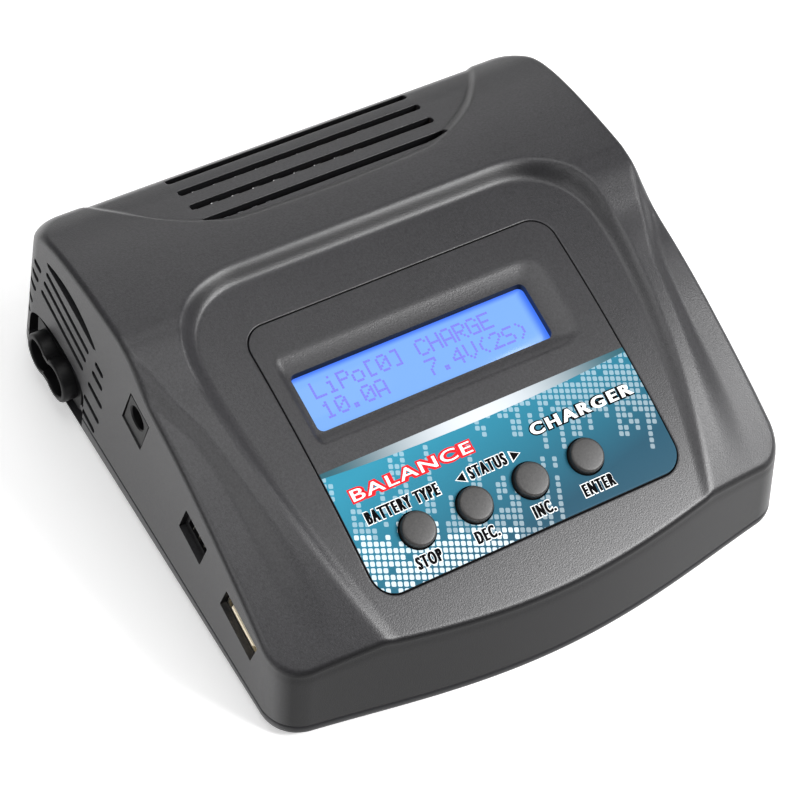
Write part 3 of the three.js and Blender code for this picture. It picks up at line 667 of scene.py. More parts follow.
def label_material():
    """Blue-green print: a tilted field of rounded square dots, dense at two corners."""
    shader = Shader("label_print")
    calc = shader.math
    x, y = [calc("MULTIPLY", axis, 1000.0) for axis in shader.axes()[:2]]

    def combination(a, b, offset):
        return calc("ADD", calc("MULTIPLY", x, a), calc("MULTIPLY", y, b), offset)

    cos, sin = math.cos(DOT_TURN), math.sin(DOT_TURN)
    u = combination(cos / DOT_PITCH, sin / DOT_PITCH, LATTICE_START)
    v = combination(-sin / DOT_PITCH, cos / DOT_PITCH, LATTICE_START)
    column, row = calc("FLOOR", u), calc("FLOOR", v)

    def from_middle(value):
        return calc("POWER", calc("ABSOLUTE", calc("SUBTRACT", calc("FRACT", value), 0.5)), 4.0)

    inside = calc("LESS_THAN", calc("ADD", from_middle(u), from_middle(v)), DOT_HALF ** 4)

    cell = shader.node("CombineXYZ")
    shader.feed(cell.inputs[0], column)
    shader.feed(cell.inputs[1], row)
    cell_chance = shader.chance(cell.outputs[0], "2D", "Vector")
    column_chance = shader.chance(column, "1D", "W")

    def lattice(millimetres, turned):
        return LATTICE_START + (millimetres + DISPLAY_Y * turned) / DOT_PITCH

    def in_rows(first, spread):
        """Row of each column's end, from a base and a random part."""
        return calc("ADD", calc("MULTIPLY", column_chance, spread), first)

    # White bars of dots stand at the front left; pale ones rise above them and hang from the back.
    white_row = lattice(WHITE_BACK, cos)
    white = calc(
        "MULTIPLY", calc("LESS_THAN", row, in_rows(white_row - 1.0, 3.4)),
        calc("LESS_THAN", column, lattice(WHITE_RIGHT, sin)),
        calc("GREATER_THAN", cell_chance, 0.07), 0.72)
    rising = calc(
        "MULTIPLY", calc("LESS_THAN", row, in_rows(white_row - 3.0, 18.0)),
        calc("LESS_THAN", column, lattice(RISING_RIGHT, sin)))
    hanging = calc(
        "MULTIPLY", calc("GREATER_THAN", row, in_rows(lattice(HANGING_FRONT, cos), 9.0)),
        calc("GREATER_THAN", column, lattice(HANGING_LEFT, sin)))
    pale = calc(
        "MULTIPLY", calc("MAXIMUM", rising, hanging), calc("GREATER_THAN", cell_chance, 0.13), 0.28)
    amount = calc("MULTIPLY", calc("MAXIMUM", white, pale), inside)

    shade = combination(-1 / 150.0, 1 / 34.0, (46.0 - DISPLAY_Y) / 34.0)
    ground = shader.mix(shade, (0.005, 0.052, 0.088), (0.023, 0.205, 0.30))
    printed = shader.mix(amount, ground, (0.68, 0.78, 0.82))
    # A silver sweep along the back edge, deepest and brightest in the middle.
    across = calc("MULTIPLY", x, 1 / 44.0)
    across = calc("SUBTRACT", 1.0, calc("MULTIPLY", across, across))
    depth = calc("ADD", calc("MULTIPLY", across, 1.7), 1.0)
    in_sweep = calc("GREATER_THAN", y, calc("SUBTRACT", LABEL_BACK_Y, depth))
    shine = calc("POWER", calc("MAXIMUM", across, 0.0), 2.6)
    silver = shader.mix(shine, (0.02, 0.085, 0.11), (0.52, 0.55, 0.58))
    shader.set("Base Color", shader.mix(in_sweep, printed, silver))
    shader.set("Roughness", 0.4)
    shader.set("Specular IOR Level", 0.12)
    shader.bump(shader.noise(2500.0), 0.15, 0.00003)
    return shader.material


def screen_material():
    """Backlit display: pale blue, deeper towards its edges, most of all right and back."""
    shader = Shader("lit_screen")
    x, y = shader.axes()[:2]

    def band(place, low, high, width):
        """One at either end of the range, zero in the middle."""
        near = shader.ramp(place, (high - width) * MM, high * MM, interpolation="SMOOTHSTEP")
        far = shader.ramp(place, (low + width * 0.3) * MM, low * MM, interpolation="SMOOTHSTEP")
        return shader.math("MAXIMUM", near, far)

    left, right, front, back = WINDOW
    rim = shader.math("MAXIMUM", band(x, left, right, 3.0), band(y, DISPLAY_Y + front, DISPLAY_Y + back, 1.6))
    color = shader.mix(rim, (0.215, 0.46, 1.0), (0.03, 0.16, 1.0))
    haze = shader.math("MULTIPLY", shader.noise(90.0), 0.15)
    shader.set("Emission Color", shader.mix(haze, color, (0.30, 0.55, 1.0)))
    shader.set("Emission Strength", 0.95)
    shader.set("Base Color", (0.02, 0.03, 0.06))
    shader.set("Specular IOR Level", 0.1)
    shader.set("Roughness", 0.12)
    return shader.material


# The cover and the base carry painted shade: their front-facing faces are darker and less glossy.
COVER = plastic(
    "cover_grain_and_painted_shade", (0.021, 0.0205, 0.0225), 0.36, 2900.0, 0.00006, 0.8, 0.16, 0.34, flecks=0.95)
LOWER = plastic("base_grain_and_painted_shade", (0.030, 0.0295, 0.0325), 0.36, 2300.0, 0.00005, 0.4, painted_front_shade=0.45)
KEYCAP = plastic("key_satin", (0.026, 0.0245, 0.024), 0.44, 2900.0, 0.00004, 0.5, flecks=0.9)
BLACK = plastic("black_moulding", (0.005, 0.005, 0.0055), 0.4, 1500.0, 0.00002, 0.25, specular=0.2)
WHITE = plastic("white_moulding", (0.74, 0.73, 0.68), 0.38, 1500.0, 0.00002, 0.2, 0.03)
CREAM = plastic("cream_moulding", (0.80, 0.70, 0.50), 0.4, 1500.0, 0.00002, 0.2, 0.03)
RED = plastic("red_moulding", (0.42, 0.012, 0.012), 0.32, 1500.0, 0.00002, 0.2)
RUBBER = plastic("foot_rubber", (0.012, 0.012, 0.012), 0.8, 1800.0, 0.00006, 0.7)
FERRITE = plastic("ferrite", (0.026, 0.026, 0.030), 0.7, 1200.0, 0.00006, 0.7)
TIN = metal("tin_plate", (0.66, 0.62, 0.52), 0.28)
BRASS = metal("gilt_brass", (0.72, 0.52, 0.22), 0.3)
ALUMINIUM = metal("aluminium", (0.52, 0.53, 0.55), 0.35)
COPPER = metal("copper_winding", (0.42, 0.14, 0.04), 0.35, (900.0, 900.0, 2600.0))
DARK_METAL = metal("dark_metal", (0.02, 0.02, 0.021), 0.5)
INK_BLACK = matt_color("ink_black", (0.003, 0.003, 0.0035), 0.5, specular=0.01)
INK_WHITE = matt_color("ink_white", (0.82, 0.84, 0.84))
INK_RED = matt_color("ink_red", (0.62, 0.015, 0.02))
DOTS = matt_color("display_dots", (0.10, 0.10, 0.74), 0.3, 0.85)
BOARD = board_material()
LABEL = label_material()
SCREEN = screen_material()


# ---- Upper cover ----

EDGE_FRONT, EDGE_SIDE, EDGE_BACK = 1.3, 1.7, 4.2  # rounding radii of the top edge
CENTRE = np.array([0.0, DISPLAY_Y - 12.0])  # inside the panel opening
WALL_SHARES = (0.0, 0.004, 0.1, 0.3, 0.5, 0.7, 0.85, 0.95)  # heights of the wall's rings
ARC_STEPS = 10


def edge_radius(ring):
    """Rounding radius of the top edge at each outline sample."""
    y = ring[:, 1]
    to_back = smooth_step(BACK_Y - 14, BACK_Y - 2, y)
    to_front = smooth_step(PANEL_FRONT_Y + 2, PANEL_FRONT_Y - 8, y)
    return EDGE_SIDE + (EDGE_BACK - EDGE_SIDE) * to_back + (EDGE_FRONT - EDGE_SIDE) * to_front


def cover_layers(inset, inner_rows):
    """Rings from the parting line up the wall, over the rounded edge and in to the middle."""
    ring = outline(30.0)
    normal = normals_of(ring)
    # The wall leans, so the outline of the top edge and its height settle in a few rounds.
    for _ in range(3):
        inside = pulled_in(ring, (edge_radius(ring) + inset)[:, None])
        ring = outline(cover_z(*inside.T) - edge_radius(ring))
    radius = edge_radius(ring)
    layers = []
    foot = PARTING_Z + PARTING_GAP + PARTING_SLOPE * ring[:, 1]
    wall_top = cover_z(*ring.T) - inset - radius
    for share in WALL_SHARES:
        height = foot + (wall_top - foot) * share
        row = outline(height)
        if share == 0:
            row = pulled_in(row, PARTING_CHAMFER)
        layers.append(level(pulled_in(row, inset), height))

    def add(row, drop=0.0):
        layers.append(level(row, cover_z(*row.T) - inset - drop))

    for k in range(ARC_STEPS + 1):
        angle = math.pi / 2 * k / ARC_STEPS
        depth = inset + radius * (1 - math.cos(angle))
        add(ring - normal * depth[:, None], radius * (1 - math.sin(angle)))
    for share in np.linspace(0, 1, 8)[1:]:
        depth = inset + radius + (radius.max() + 1.0 - radius) * share
        add(ring - normal * depth[:, None])
    last = layers[-1][:, :2]
    for share in np.linspace(0, 1, inner_rows + 1)[1:-1]:
        add(last + (CENTRE - last) * share)
    return layers


def cover_mesh():
    """Outer and inner skin. Both end short of the centre, where the panel opening removes them."""
    outer = cover_layers(0.0, 190)
    inner = cover_layers(WALL, 70)
    vertices = np.vstack([*outer[::-1], *inner])
    faces = [f[::-1] for f in ring_faces(len(outer) + len(inner), RING_COUNT)]
    end = len(vertices)
    faces += [tuple(range(RING_COUNT)), tuple(range(end - 1, end - RING_COUNT - 1, -1))]
    return vertices, faces


def panel_ring(offset):
    half = PANEL_HALF_WIDTH + offset
    return rounded_rectangle(
        -half, half, PANEL_FRONT_Y - offset, PANEL_BACK_Y + offset, PANEL_CORNER + offset, 14, 1.5)


def top_slot(y):
    def shape(offset):
        length, width = TOP_SLOT_LENGTH + 2 * offset, TOP_SLOT_WIDTH + 2 * offset
        return rectangle_at(0, y, length, width, min(width * 0.49, 0.75 + offset), 6, 1.2)

    return lip_cutter(shape, cover_z, bottom=-8, lip=0.3, flare=0.05)


def through_wall(wall_x, ring):
    return wall_solid([(wall_x - 6, ring), (wall_x + 6, ring)])


def left_slot(start, end, depth, half):
    """Slot through the left wall, along the slope."""
    ring = rounded_rectangle(start, end, depth - half, depth + half, 0.85, 5, 4)
    return through_wall(LEFT_X, on_slope(ring))


# Slots in front of the fan, by place up the face and depth square to it.
FAN_START, FAN_END = 38.5, 61.5
CRESCENT_START, CRESCENT_LENGTH = 36.5, 26.0
SHORT_END = 35.4
REAR_START, REAR_END = 63.4, 67.4
LONG_DEPTHS = (-18.9, -23.2, -27.6)
SHORT_SLOTS = [(-17.8, 4.2), (-22.3, 5.4), (-28.4, 7.4), (-35.2, 8.2), (-41.0, 7.8)]  # depth, length
REAR_DEPTHS = (-22.0, -26.5, -31.0, -37.0, -42.0)


def vent_cuts():
    """A crescent, long slots and a short row at each end."""
    t = np.linspace(0, 1, 25)
    hump = np.sin(math.pi * t)
    along = CRESCENT_START + CRESCENT_LENGTH * t
    upper = np.column_stack([along, -13.6 + 3.4 * hump ** 0.8 - 1.6 * t])
    lower = np.column_stack([along, -14.6 + 0.5 * hump - 1.6 * t])
    cuts = [through_wall(LEFT_X, on_slope(np.vstack([upper, lower[-2:0:-1]])[::-1]))]
    cuts += [left_slot(FAN_START, FAN_END, depth, 0.9) for depth in LONG_DEPTHS]
    cuts += [left_slot(SHORT_END - length, SHORT_END, depth, 0.95) for depth, length in SHORT_SLOTS]
    cuts += [left_slot(REAR_START, REAR_END, depth, 0.95) for depth in REAR_DEPTHS]
    return cuts


RECESS_HALF = 14.5
RECESS_FLOOR = 3.2


def inlet_cut():
    """Recess round the mains inlet: flat below, arched above."""
    angle = np.linspace(0, math.pi, 21)
    rise = np.clip(np.sin(angle), 0, 1) ** 0.7
    arch = np.column_stack([INLET_Y + RECESS_HALF * np.cos(angle), INLET_Z + 1.0 + 8.2 * rise])
    foot = [(INLET_Y - RECESS_HALF, RECESS_FLOOR), (INLET_Y + RECESS_HALF, RECESS_FLOOR)]
    return through_wall(LEFT_X, np.vstack([foot, arch]))


def port_cut(*port):
    return through_wall(LEFT_X, on_slope(rectangle_at(*port, 0.35, 4, 4)))


# The opening for the row of balance sockets: start, end, lowest and highest, along the slope.
SOCKET_OPENING = (-45.6, 35.7, -18.5, -12.1)
OUTPUT_SOCKETS = [
    ("output_socket_red", RED, "red_plastic"), ("output_socket_black", BLACK, "black_plastic"),
]
OUTPUT_HOLE = 4.6
REAR_SLOT_PITCH = 6.0
REAR_SLOT_Z = 26.0


def right_cuts():
    """The opening for the balance sockets and two round holes for the output sockets."""
    cuts = [through_wall(HALF_WIDTH, on_slope(rounded_rectangle(*SOCKET_OPENING, 0.4, 4, 6)))]
    for node, _, _ in OUTPUT_SOCKETS:
        _, y, z = middle_of(node)
        cuts.append(through_wall(HALF_WIDTH, circle(OUTPUT_HOLE, y, z)))
    return cuts


def rear_cuts():
    """Nine upright slots in the back wall."""
    cuts = []
    for k in range(-4, 5):
        ring = rectangle_at(k * REAR_SLOT_PITCH, REAR_SLOT_Z, 2, 16, 0.95, 6, 4)
        cuts.append(ring_solid([np.insert(ring, 1, y, 1) for y in (BACK_Y + 6, BACK_Y - 6)]))
    return cuts


def make_cover():
    cover = new_object("cover", *cover_mesh(), None)
    cuts = [lip_cutter(panel_ring, cover_z, bottom=-12, lip=0.35, flare=0.5)]
    cuts += [top_slot(y) for y in TOP_SLOTS_Y]
    cuts += vent_cuts()
    cuts += [port_cut(*port) for port in (JACK, SENSOR, USB)]
    cuts += [inlet_cut(), *right_cuts(), *rear_cuts()]
    boolean(cover, cuts)
    finish_mesh(cover, COVER, 38)
    dress(cover, "upper_shell")


make_cover()


# ---- Lower case ----

BASE_EDGE = [(0.0, 1.2), (0.12, 0.55), (0.5, 0.12), (1.1, 0.0)]  # height over the base, inset
# Radius, lowest and highest: room for a screw's head, for a foot, and the seat over the head.
HEAD_ROOM, FOOT_ROOM, HEAD_SEAT = (3.3, -2, 4.2), (6.3, -2, 2.8), (3.2, 4.1, 6.0)


def lower_mesh():
    """Tray: rings from the middle of its underside, round its rim and back in over its floor."""
    floor = outline(BASE_Z)
    layers = [level(CENTRE + (floor - CENTRE) * share, BASE_Z) for share in (0.002, 0.502)]
    for rise, inset in BASE_EDGE:
        z = BASE_Z + rise
        layers.append(level(pulled_in(outline(z), inset), z))
    top = PARTING_Z - PARTING_GAP + PARTING_SLOPE * outline(PARTING_Z)[:, 1]
    inner_floor = BASE_Z + WALL
    for height, inset in ((top - 0.3, 0.0), (top, PARTING_CHAMFER), (top, WALL), (inner_floor, WALL)):
        layers.append(level(pulled_in(outline(height), inset), height))
    layers.append(level(CENTRE + (floor - CENTRE) * 0.002, inner_floor))
    return ring_solid(layers)


def posts(radius, low, high, places):
    return [prism(circle(radius, x, y, 32), low, high) for x, y in places]


def make_lower():
    base = new_object("base", *lower_mesh(), None)
    boolean(base, [*posts(*HEAD_ROOM, SCREWS), *posts(*FOOT_ROOM, FEET), inlet_cut()])
    boolean(base, posts(*HEAD_SEAT, SCREWS), "UNION")
    finish_mesh(base, LOWER, 38)
    dress(base, "lower_shell")


make_lower()


# ---- Front panel with its dished display window ----

DISH_SOFTNESS = 0.16
DISH_POWER = 1.6


def soft_clip(value):
    """Clamp to 0..1 with rounded ends."""
    soft = DISH_SOFTNESS
    value = np.clip(value, -soft, 1 + soft)
    low = np.where(value < soft, (value + soft) ** 2 / (4 * soft), value)
    gap = 1 - value
    high = np.where(gap < soft, 1 - (gap + soft) ** 2 / (4 * soft), low)
    return np.clip(high, 0, 1)


def panel_z(x, y):
    """The panel's face, dished round the window: steep at the rim, flat beside the glass."""

    def outside(place, low, high):
        """How far a place is out from the window's edge, as a share of the bezel's width."""
        to_low = (place - BEZEL[low]) / (WINDOW[low] - BEZEL[low])
        to_high = (BEZEL[high] - place) / (BEZEL[high] - WINDOW[high])
        return np.clip(1 - np.minimum(to_low, to_high), 0, 3)

    inward = soft_clip(1 - np.hypot(outside(x, 0, 1), outside(y - DISPLAY_Y, 2, 3)))
    return face_z(x, y) - BEZEL_DEPTH * (1 - (1 - inward) ** DISH_POWER)


def slab(xs, ys, top, bottom):
    """Closed slab over a rectangular grid."""
    gx, gy = np.meshgrid(xs, ys)
    upper = np.column_stack([gx.ravel(), gy.ravel(), top(gx, gy).ravel()])
    lower = np.column_stack([gx.ravel(), gy.ravel(), bottom(gx, gy).ravel()])
    size = gx.size
    index = np.arange(size).reshape(gx.shape)
    a, b, c, d = [part.ravel() for part in (index[:-1, :-1], index[:-1, 1:], index[1:, 1:], index[1:, :-1])]
    rim = np.concatenate([index[0, :-1], index[:-1, -1], index[-1, :0:-1], index[:0:-1, 0]])
    after = np.roll(rim, -1)
    quads = [(a, b, c, d), (d + size, c + size, b + size, a + size), (rim, rim + size, after + size, after)]
    faces = np.vstack([np.stack(quad, 1) for quad in quads]).tolist()
    return np.vstack([upper, lower]), [tuple(f) for f in faces]


def key_places():
    return [(KEY_FIRST_X + k * KEY_PITCH, KEY_Y) for k in range(len(KEYS))]


def key_bores():
    return [moved(prism(circle(KEY_HOLE, x, 0, 56), -14.0, 14.0), face_matrix(y)) for x, y in key_places()]


def window_cut():
    left, right, front, back = WINDOW
    return prism(rounded_rectangle(left, right, DISPLAY_Y + front, DISPLAY_Y + back, 1.6, 8, 3), 10, ABOVE)


def make_panel():
    step = 0.25
    xs = np.arange(-PANEL_HALF_WIDTH - 1, PANEL_HALF_WIDTH + 1, step)
    ys = np.arange(PANEL_FRONT_Y - 1, PANEL_BACK_Y + 1, step)
    panel = new_object("panel", *slab(xs, ys, panel_z, lambda x, y: face_z(x, y) - WALL - 0.6), None)
    boolean(panel, [outline_post(lambda o: panel_ring(o - PANEL_GAP), face_z, lip=0.3)], "INTERSECT")
    boolean(panel, [window_cut(), *key_bores()])
    finish_mesh(panel, COVER, 38)
    dress(panel, "front_panel")


def label_ring(offset):
    margin = 0.35 - offset
    half = PANEL_HALF_WIDTH - margin
    return rounded_rectangle(-half, half, PANEL_FRONT_Y + margin, PANEL_BACK_Y, PANEL_CORNER - 0.6, 12, 2)


def make_label():
    step = 0.6
    xs = np.arange(-PANEL_HALF_WIDTH - 1, PANEL_HALF_WIDTH + 1, step)
    ys = np.append(np.arange(PANEL_FRONT_Y - 1, LABEL_BACK_Y, step), LABEL_BACK_Y)

    def top(x, y):
        return face_z(x, y) + LABEL_THICKNESS

    label = new_object("label", *slab(xs, ys, top, lambda x, y: face_z(x, y) + 0.02), None)
    boolean(label, [outline_post(label_ring, top, lip=0.05)], "INTERSECT")
    boolean(label, key_bores())
    finish_mesh(label, LABEL, 30)
    dress(label, "overlay_label")


make_panel()
make_label()


# ---- Printed words ----

BORDER_LIFT = 0.15  # over the face; the label is 0.12 thick
INK_LIFT = 0.19
COPY_LIFT = 0.004
COPIES = 7


def drape(words, x, y, height, length, material, weight, lift, border, bold):
    """Flat lettering laid on the face, centred on a point and as long as asked.

    Shifted copies, each a hair higher, thicken the upright strokes.
    """
    curve = bpy.data.curves.new("print", "FONT")
    curve.body = words
    curve.offset = weight
    curve.space_character = 1.04 + 1.6 * weight + 1.5 * bold
    curve.resolution_u = 4
    holder = bpy.data.objects.new("print", curve)
    bpy.context.scene.collection.objects.link(holder)
    depsgraph = bpy.context.evaluated_depsgraph_get()
    mesh = bpy.data.meshes.new_from_object(holder.evaluated_get(depsgraph))
    bpy.data.objects.remove(holder)
    flat = np.array([vertex.co[:2] for vertex in mesh.vertices])
    polygons = [tuple(polygon.vertices) for polygon in mesh.polygons]
    low, high = flat.min(0), flat.max(0)
    scale = np.array([length + 2 * (border - bold), height + 2 * border]) / (high - low)
    px, py = ((flat - (low + high) / 2) * scale + (x, y)).T
    pz = face_z(px, py) + lift
    solids = []
    for k, shift in enumerate(np.linspace(-bold, bold, COPIES)):
        solids.append((np.column_stack([px + shift, py, pz + COPY_LIFT * k]), polygons))
    name = "print_" + words.strip(".").lower().replace(" ", "_")
    dress(new_object(name, *join_solids(solids), material))


def outlined(words, x, y, height, length, inner, outer, weight, border, bold):
    """Lettering with a border: the same words, heavier, lie underneath."""
    place = (words, x, DISPLAY_Y + y, height, length)
    drape(*place, outer, weight + border, BORDER_LIFT, border * height * 1.2, bold)
    drape(*place, inner, weight, INK_LIFT, 0.0, bold)


def arrow(x, y, way):
    """Black triangle with a white border, pointing left or right."""
    for size, lift, material in ((1.45, BORDER_LIFT, INK_WHITE), (1.1, INK_LIFT, INK_BLACK)):
        tip, back = x + way * size, x - way * size
        corners = [(tip, y), (back, y + way * size), (back, y - way * size)]
        vertices = [(px, py, face_z(px, py) + lift) for px, py in corners]
        dress(new_object("print_arrow", vertices, [(0, 1, 2)], material))


# Inks of the letters and of their border, the two weights of the font, then the widening.
LEGEND = (INK_BLACK, INK_WHITE, 0.015, 0.06, 0.19)
ON_RED = (INK_WHITE, INK_RED, 0.0, 0.13, 0.05)
ON_BLACK = (INK_WHITE, INK_BLACK, 0.02, 0.09, 0.15)
# Words, the place of their middle from the display's centre, height, length and style.
PRINTED = [
    ("STOP", -27.4, -42.6, 2.9, 6.8, LEGEND), ("DEC.", -11.7, -42.7, 2.9, 6.2, LEGEND),
    ("INC.", 4.1, -42.7, 2.9, 5.8, LEGEND), ("ENTER", 19.5, -42.8, 2.9, 8.8, LEGEND),
    ("BATTERY TYPE", -27.3, -29.2, 2.9, 19.5, LEGEND), ("STATUS", -4.0, -29.0, 2.9, 10.3, LEGEND),
    ("BALANCE", -21.5, -23.4, 2.7, 32.4, ON_RED), ("CHARGER", 24.5, -25.6, 2.8, 29.0, ON_BLACK),
]
for *place, style in PRINTED:
    outlined(*place, *style)
arrow(-11.5, DISPLAY_Y - 29.2, -1)
arrow(3.7, DISPLAY_Y - 29.2, 1)


# ---- Display ----

GLYPH_ART = """
L     i     P     o     [     ]     0     1     2     4     7
#.... ..#.. ####. ..... .###. .###. .###. ..#.. .###. ...#. #####
#.... ..... #...# ..... .#... ...#. #...# .##.. #...# ..##. ....#
#.... .##.. #...# .###. .#... ...#. #..## ..#.. ....# .#.#. ...#.
#.... ..#.. ####. #...# .#... ...#. #.#.# ..#.. ...#. #..#. ..#..
#.... ..#.. #.... #...# .#... ...#. ##..# ..#.. ..#.. ##### .#...
#.... ..#.. #.... #...# .#... ...#. #...# ..#.. .#... ...#. .#...
##### .###. #.... .###. .###. .###. .###. .###. ##### ...#. .#...
.     (     )     A     C     E     G     H     R     S     V
..... ...#. .#... .###. .###. ##### .###. #...# ####. .#### #...#
..... ..#.. ..#.. #...# #...# #.... #...# #...# #...# #.... #...#
..... .#... ...#. #...# #.... #.... #.... #...# #...# #.... #...#
..... .#... ...#. #...# #.... ####. #.### ##### ####. .###. #...#
..... .#... ...#. ##### #.... #.... #...# #...# #.#.. ....# #...#
.##.. ..#.. ..#.. #...# #...# #.... #...# #...# #..#. ....# .#.#.
.##.. ...#. .#... #...# .###. ##### .#### #...# #...# ####. ..#..
"""
ROWS = ("LiPo[0] CHARGE", "10.0A   7.4V(2S)")
CHARACTER_PITCH = 3.57
ROW_PITCH = 5.5
DOT = 0.63
DOT_GAP = 0.05
FIRST_DOT = (-32.7, 5.75)
GLASS_Z = -3.0  # depth of the glass under the face, square to it
GLASS_MARGIN = 1.2


def read_glyphs():
    """Rows of dots for each letter, from banks of one line of letters over seven of drawing."""
    lines = GLYPH_ART.split("\n")[1:-1]
    glyphs = {}
    for start in range(0, len(lines), 8):
        drawn = [line.split() for line in lines[start + 1:start + 8]]
        for letter, *rows in zip(lines[start].split(), *drawn):
            glyphs[letter] = rows
    return glyphs


def make_screen():
    left, right, front, back = WINDOW

    def ring(trim):
        margin = GLASS_MARGIN - trim
        sides = (left - margin, right + margin, front - margin, back + margin)
        return rounded_rectangle(*sides, 1.0 - trim, 4, 6)

    rings = [level(ring(0), GLASS_Z - 2.2), level(ring(0), GLASS_Z - 0.2), level(ring(0.3), GLASS_Z)]
    dress(new_object("screen", *moved(ring_solid(rings), SLOPE), SCREEN), "display_glass")


def make_dots():
    glyphs = read_glyphs()
    corners = np.array([(0, -1, 0), (1, -1, 0), (1, 0, 0), (0, 0, 0)]) * (DOT - DOT_GAP)
    squares = []
    for row, text in enumerate(ROWS):
        for column, letter in enumerate(text):
            for j, line in enumerate(glyphs.get(letter, ())):
                for i, mark in enumerate(line):
                    if mark == "#":
                        x = FIRST_DOT[0] + column * CHARACTER_PITCH + i * DOT
                        y = FIRST_DOT[1] - row * ROW_PITCH - j * DOT
                        squares.append((corners + (x, y, GLASS_Z + 0.03), [(0, 1, 2, 3)]))
    dress(new_object("screen_dots", *moved(join_solids(squares), SLOPE), DOTS))


make_screen()
make_dots()


# ---- Keys ----

KEY_LOW, KEY_TOP = -4.4, 1.95  # from the face
KEY_FLANGE = 4.9
KEY_ROUND = 0.75


def key_profile():
    low, top = KEY_LOW, KEY_TOP
    profile = [(0, low), (KEY_FLANGE, low), (KEY_FLANGE, low + 0.8), (KEY_RADIUS, low + 0.9)]
    profile.append((KEY_RADIUS, top - 1.0))
    for k in range(1, 8):
        angle = math.pi / 2 * k / 7
        radius = KEY_RADIUS - KEY_ROUND * (1 - math.cos(angle))
        profile.append((radius, top - 0.85 + KEY_ROUND * math.sin(angle)))
    return [*profile, (3.0, top - 0.04), (1.5, top + 0.02), (0, top + 0.04)]


for name, (x, y) in zip(KEYS, key_places()):
    place = face_matrix(y) @ Matrix.Translation((x, 0, 0))
    key = new_object(name + "_cap", *moved(lathe(key_profile(), 64), place), KEYCAP, 35)
    dress(key, name, name)


# ---- Ports on the left ----

LOBE_Y = 4.3
INLET_FACE_X = LEFT_X - 2.6
BLOCK_SIZE = (23.6, 11.6)


def lobed(sections, waist):
    """Figure of eight along X from (x, radius) sections: two round lobes joined by a waist."""
    lobes = [round_bar(sections, INLET_Y + side * LOBE_Y, INLET_Z, 44) for side in (-1, 1)]
    bridge = rectangle_at(INLET_Y, INLET_Z, 5.6, waist, 0.1, 2, 9)
    return [*lobes, wall_solid([(sections[0][0], bridge), (sections[-1][0], bridge)])]


def make_inlet():
    """Two-pole mains inlet: a block, a lobed collar with a lobed well, and two pins."""
    face = INLET_FACE_X
    ring = rectangle_at(INLET_Y, INLET_Z, *BLOCK_SIZE, 1.2, 6, 20)
    centre = np.array([INLET_Y, INLET_Z])
    smaller = centre + (ring - centre) * 0.98
    block = wall_solid([(LEFT_X + 1.2, smaller), (LEFT_X + 1.6, ring), (LEFT_X + 17, ring)])
    inlet = new_object("inlet", *block, None)
    collar = [(face, 5.2), (face + 0.15, 5.5), (face + 0.5, 5.7), (LEFT_X + 4, 5.7)]
    for solid in lobed(collar, 8.6):
        boolean(inlet, [solid], "UNION")
    well = [(face - 1, 4.6), (face, 4.5), (face + 0.35, 4.2), (LEFT_X + 11.5, 4.2)]
    for solid in lobed(well, 6.2):
        boolean(inlet, [solid])
    finish_mesh(inlet, BLACK, 35)
    pin = [(LEFT_X + 5.1, 0.7), (LEFT_X + 5.4, 1.05), (LEFT_X + 6.0, 1.2), (LEFT_X + 13.0, 1.2)]
    pins = [round_bar(pin, INLET_Y + side * LOBE_Y, INLET_Z, 24) for side in (-1, 1)]
    dress(inlet, "mains_inlet")
    dress(new_object("inlet_pins", *join_solids(pins), TIN))


def left_block(port, near, far, shrink=0.25, corner=0.4):
    """Block behind a port, with a small chamfer at its near end. near and far are from the wall."""
    x = LEFT_X + near
    return slope_block(*port, [(x, 0.2 + shrink), (x + 0.25, shrink), (LEFT_X + far, shrink)], corner)


def make_jack():
    """Socket with a round well above its middle and a centre pin."""
    jack = new_object("jack", *left_block(JACK, 1.15, 14), None)
    [(y, z)] = on_slope(np.array([(JACK[0], JACK[1] + 1.7)]))
    well = [(LEFT_X + 0.5, 3.6), (LEFT_X + 1.15, 3.35), (LEFT_X + 1.5, 3.05), (LEFT_X + 12, 3.05)]
    boolean(jack, [round_bar(well, y, z, 44)])
    finish_mesh(jack, BLACK, 35)
    pin = [(LEFT_X + 3.8, 0.55), (LEFT_X + 4.1, 0.95), (LEFT_X + 4.8, 1.05), (LEFT_X + 11.6, 1.05)]
    made = new_object("jack_pin", *round_bar(pin, y, z, 24), TIN)
    dress(jack, "dc_jack")
    dress(made)


def make_usb_tongue():
    """Cream tongue of the USB socket, in the upper half of its mouth."""
    place = (USB[0] - 0.8, USB[1] + 1.5, 11.0, 1.9)
    tongue = new_object("usb_contact_tongue", *left_block(place, 0.9, 10), CREAM)
    dress(tongue, "usb_tongue")


def make_sensor_pins():
    along, depth, _, _ = SENSOR
    places = [(along + step, depth, 0.7, 5.0) for step in (-2.5, 0.0, 2.5)]
    pins = [left_block(place, 2.6, 9, 0.05, 0.15) for place in places]
    dress(new_object("sensor_pins", *join_solids(pins), TIN))


make_inlet()
make_jack()
make_usb_tongue()
make_sensor_pins()


# ---- Sockets on the right ----

CELL_COUNTS = (2, 3, 4, 5, 6)
PIN_PITCH = 2.5
SOCKET_ENDS = 4.9  # of a socket's length, beside its pins
SOCKET_HEIGHT = 5.8
SOCKET_SPACING = 1.4
SOCKET_ROW_START = -45.0
SOCKET_DEPTH = -15.3
SOCKET_FACE_X = HALF_WIDTH - 0.4
SOCKET_BACK_X = SOCKET_FACE_X - 9.8


